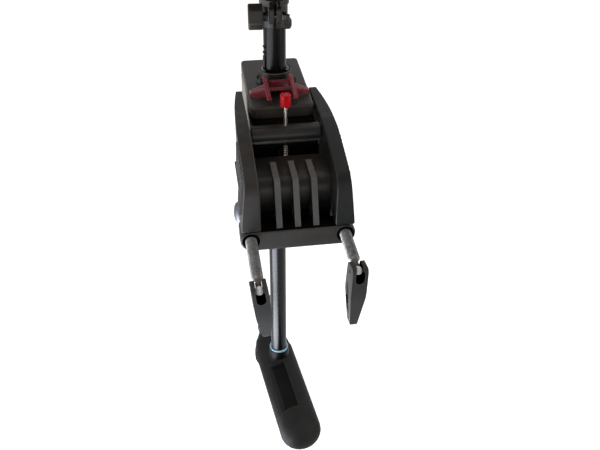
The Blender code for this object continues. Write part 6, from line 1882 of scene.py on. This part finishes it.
@dataclass
class ControlHead:
    """The control head on top of the shaft, and the tiller with its twist grip."""

    pod: MotorPod
    half_width: float = 0.052
    front: float = -0.078
    back: float = 0.070
    corner: float = 0.018
    split: float = 0.2563
    top: float = 0.3063
    wall: float = 0.003
    crown: float = 0.009
    crown_share: float = 0.8
    cutter: float = 0.1
    panel_inset: float = 0.013
    panel_depth: float = 0.0008
    tiller_pivot: Triple = (0.0, -0.100, 0.240)
    tiller_tilt: float = -18.0
    grip_y: Pair = (-0.1753, -0.2903)
    grip_radius: float = 0.0165
    grip_waist: float = 0.07
    grip_bore: float = 0.0083
    grip_bore_end: float = -0.2788
    grip_rows: int = 40
    flutes: int = 18
    flute_depth: float = 0.0009

    def build(self) -> None:
        """Makes the head's pieces and the grip."""
        self.cover()
        self.grip()
        for node, name in (("head_base", "head_tub"), ("tiller_arm", "tiller_tube"), ("cable_gland", "cord_gland")):
            body = "tiller" if node == "tiller_arm" else "shaft"
            Bench.finish(Bench.twin(node, name), BLACK_NYLON, body, node, slot="black_plastic", smooth=35)

    def cover(self) -> None:
        """Moulds the head's cover with its rounded crown and sunk top panel."""
        half, wall, inset = self.half_width, self.wall, self.panel_inset
        plan = block(-half, half, self.front, self.back, self.corner, 12)
        piece = Bench.prism("head_lid", plan, Axis.Z, self.split - self.crown, self.top)
        Bench.soften(piece, self.crown * self.crown_share, 6)
        room = block(wall - half, half - wall, self.front + wall, self.back - wall, self.corner - wall, 8)
        Bench.cut(piece, Bench.prism("lid_room", room, Axis.Z, self.cutter, self.top - wall))
        far = 2 * half
        Bench.cut(piece, Bench.prism("lid_skirt", block(-far, far, -far, far, 0.0), Axis.Z, self.cutter, self.split))
        panel = block(inset - half, half - inset, self.front + inset, self.back - inset, self.corner - inset / 2, 10)
        Bench.cut(piece, Bench.prism("lid_panel", panel, Axis.Z, self.top - self.panel_depth, self.top + self.cutter))
        Bench.finish(piece, BLACK_NYLON, "shaft", "head_cover", place=self.pod.place, slot="black_plastic", smooth=30)

    def grip(self) -> None:
        """Turns the twist grip, waisted and fluted lengthwise."""
        (near, far), rows, radius, bore = self.grip_y, self.grip_rows, self.grip_radius, self.grip_bore
        body = [(radius * (1 - self.grip_waist * math.sin(math.pi * row / rows)),
                 near - 0.002 + (far - near + 0.006) * row / rows) for row in range(rows + 1)]
        profile = [(0.0, self.grip_bore_end), (bore, self.grip_bore_end), (bore, near), (radius - 0.0014, near),
                   (radius - 0.0004, near - 0.0008), *body, (radius - 0.0012, far + 0.0014), (radius - 0.004, far),
                   (0.0, far)]
        piece = Bench.lathe("fluted_grip", profile, Axis.Y, steps=self.flutes * 8)

        def flute(point: Vector) -> Vector:
            """Sinks a point of the grip's side into its flute.

            Args:
                point: a point of the grip.

            Returns:
                Where it goes.
            """
            reach = math.hypot(point.x, point.z)
            if reach < bore + 0.002 or not far + 0.012 < point.y < near - 0.010:
                return point
            wave = 0.5 + 0.5 * math.cos(self.flutes * math.atan2(point.z, point.x))
            return point - Vector((point.x, 0.0, point.z)) * (self.flute_depth * wave ** 3 / reach)

        Bench.shape(piece, flute)
        place = self.pod.place @ Matrix.Translation(self.tiller_pivot) @ turned(self.tiller_tilt, Axis.X)
        Bench.finish(piece, NITRILE, "grip", "twist_grip", place=place, slot="soft_rubber", smooth=45)


@dataclass(frozen=True)
class Lamp:
    """A soft box: where it stands, what it faces, its size in metres, its power in watts and its tint.

    Without a target it is a card that lies flat and faces up, turned by its heading in degrees.
    """

    name: str
    place: Triple
    target: Triple | None
    width: float
    height: float
    power: float
    colour: str = "#ffffff"
    sheen_only: bool = False
    heading: float = 0.0

    def build(self) -> None:
        """Sets the lamp up; a sheen card shows in gloss alone."""
        data = bpy.data.lights.new(self.name, "AREA")
        data.shape = "RECTANGLE"
        data.size, data.size_y = self.width, self.height
        data.energy = self.power
        data.color = linear(self.colour)[:3]
        lamp = bpy.data.objects.new(self.name, data)
        bpy.context.scene.collection.objects.link(lamp)
        lamp.location = self.place
        if self.target:
            aim = Vector(self.target) - Vector(self.place)
            lamp.rotation_euler = aim.to_track_quat("-Z", "Y").to_euler()
        else:
            lamp.rotation_euler = (math.pi, 0.0, math.radians(self.heading))
        lamp.visible_camera = False
        lamp.visible_diffuse = not self.sheen_only


CARD_TINT = "#eef3ff"
CARD_TURN = 40.0


@dataclass
class Studio:
    """The plain pale floor, the lamps and the camera of the photograph."""

    camera_place: Triple = (-0.11882, -0.85046, 0.5150)
    camera_right: Triple = (0.98870, -0.14977, 0.00607)
    camera_up: Triple = (0.08168, 0.57232, 0.81595)
    camera_lens: float = 44.68
    camera_sensor: float = 36.0
    floor_gap: float = 0.003
    floor_size: float = 14.0
    floor_colour: str = "#e6e6e4"
    floor_roughness: float = 0.9
    floor_glow: float = 0.62
    ambient: float = 0.40
    lamps: tuple[Lamp, ...] = (
        Lamp("key_softbox", (-1.2, -0.2, 1.35), (0.0, 0.05, 0.0), 0.9, 0.9, 22.0),
        Lamp("front_fill", (-0.2, -1.6, 0.1), (0.0, 0.0, -0.1), 1.4, 0.8, 7.0),
        Lamp("right_fill", (1.1, -0.5, 0.0), (0.0, 0.1, -0.5), 0.8, 0.8, 7.0),
        Lamp("top_softbox", (0.2, 0.6, 1.8), (0.0, 0.1, 0.0), 1.4, 1.4, 10.0),
        Lamp("sleeve_card", (-0.86, -0.38, -0.33), (0.0, 0.15, 0.11), 1.35, 0.5, 23.0, "#f4f6ff", sheen_only=True),
        Lamp("near_card", (-0.184, 0.006, -0.635), None, 0.16, 0.29, 4.6, CARD_TINT, True, CARD_TURN),
        Lamp("middle_card", (-0.364, -0.145, -0.635), None, 0.23, 0.57, 13.2, CARD_TINT, True, CARD_TURN),
        Lamp("far_card", (-0.70, -0.427, -0.635), None, 0.46, 1.10, 31.0, CARD_TINT, True, CARD_TURN),
    )

    def build(self) -> None:
        """Sets the floor, the world, the lamps and the camera."""
        bpy.context.scene.view_settings.view_transform = "Standard"
        self._floor()
        self._world()
        for lamp in self.lamps:
            lamp.build()
        self._camera()

    @staticmethod
    def _seen(tree: Tree, plain: float, bright: float) -> Socket:
        """Sets a strength by the kind of ray.

        Args:
            tree: the node tree.
            plain: the strength that lights.
            bright: the strength that shows.

        Returns:
            The strength.
        """
        path = add_node(tree, "ShaderNodeLightPath").outputs
        mirror = add_node(tree, "ShaderNodeMath", None, {0: path["Is Glossy Ray"], 1: path["Is Transmission Ray"]},
                          operation="MAXIMUM")
        seen = add_node(tree, "ShaderNodeMath", None, {0: mirror.outputs["Value"], 1: path["Is Camera Ray"]},
                        operation="MAXIMUM")
        return add_node(tree, "ShaderNodeMapRange", {"To Min": plain, "To Max": bright},
                        {"Value": seen.outputs["Value"]}).outputs["Result"]

    def _floor(self) -> None:
        """Lays the floor just under the object; it shows white and keeps the object's shadow."""
        Bench.rest()
        bpy.ops.mesh.primitive_plane_add(size=self.floor_size,
                                         location=(0.0, 0.0, CAD_BOX[0][2] - self.floor_gap))
        floor = bpy.context.object
        floor.name = "floor"
        material = bpy.data.materials.new("matt_paper_white")
        material.use_nodes = True
        tree = material.node_tree
        shader = tree.nodes["Principled BSDF"]
        shader.inputs["Base Color"].default_value = linear(self.floor_colour)
        shader.inputs["Roughness"].default_value = self.floor_roughness
        shader.inputs["Emission Color"].default_value = (1.0, 1.0, 1.0, 1.0)
        tree.links.new(self._seen(tree, 0.0, self.floor_glow), shader.inputs["Emission Strength"])
        floor.data.materials.append(material)

    def _world(self) -> None:
        """Makes the world white where it shows and a plain level where it only lights."""
        world = bpy.data.worlds.new("white_cove")
        bpy.context.scene.world = world
        world.use_nodes = True
        tree = world.node_tree
        shade = tree.nodes["Background"]
        shade.inputs["Color"].default_value = (1.0, 1.0, 1.0, 1.0)
        tree.links.new(self._seen(tree, self.ambient, 1.0), shade.inputs["Strength"])

    def _camera(self) -> None:
        """Stands the camera where the photograph was taken."""
        data = bpy.data.cameras.new("photo_camera")
        data.lens, data.sensor_width, data.sensor_fit = self.camera_lens, self.camera_sensor, "HORIZONTAL"
        camera = bpy.data.objects.new("photo_camera", data)
        bpy.context.scene.collection.objects.link(camera)
        right, up = Vector(self.camera_right), Vector(self.camera_up)
        turn = Matrix((right, up, right.cross(up))).transposed().to_4x4()
        camera.matrix_world = Matrix.Translation(self.camera_place) @ turn
        bpy.context.scene.camera = camera


SLOT_FINISHES: dict[str, Finish] = {
    "black_plastic": BLACK_NYLON, "grey_plastic": RUBBED_NYLON, "gloss_black": COMPOSITE_TUBE,
    "maroon_plastic": MAROON_PLASTIC, "red_plastic": RED_PLASTIC, "blue_rubber": BLUE_ELASTOMER,
    "zinc_steel": ZINC_PLATE, "dark_steel": DARK_STEEL, "bronze": BRONZE, "copper": COPPER,
    "ferrite": FERRITE, "painted_pod": POD_PAINT, "soft_rubber": NITRILE,
}


# The outboard jaw, the index sector and the thread inserts are painted black as shade.
NODE_FINISHES: dict[str, Finish] = {
    "outboard_jaw": SHADE_BLACK_NYLON, "tilt_index_sector": SHADE_BLACK_NYLON, "lever_pin": DARK_STEEL, "collar_nut": DARK_STEEL,
    "left_thread_insert": SHADE_BLACK_NYLON, "right_thread_insert": SHADE_BLACK_NYLON, "collar_screw": DARK_STEEL,
}


def dress_solids() -> None:
    """Gives every CAD node that still shows the finish of its material slot."""
    for entry in frame["record"]["subparts"]:
        node = frame["nodes"][entry["node"]]
        finish = NODE_FINISHES.get(entry["node"], SLOT_FINISHES[entry["material_slot"]])
        if not node.hide_render:
            node.data.materials.clear()
            node.data.materials.append(finish.material())
            LOG.info("%s is dressed as %s", node.name, finish.name)


def main() -> None:
    """Builds the sub-assemblies in order, then the studio."""
    logging.basicConfig(level=logging.INFO, format="%(name)s: %(message)s")
    pod = MotorPod()
    clamps = (Clamp(Side.LEFT, (-0.062, -0.1765, -0.059), lean=-5.7, yaw=3.0, below=0.0700, above=0.0122),
              Clamp(Side.RIGHT, (0.062, -0.1555, -0.059), lean=4.0, sway=1.5, yaw=4.5, below=0.0850, above=0.0104))
    for assembly in (Bracket(), *clamps, TiltHead(), LockLever(), SteeringColumn(), pod, Propeller(pod),
                     ControlHead(pod)):
        LOG.info("building %s", type(assembly).__name__)
        assembly.build()
    dress_solids()
    Studio().build()


if __name__ == "__main__":
    main()
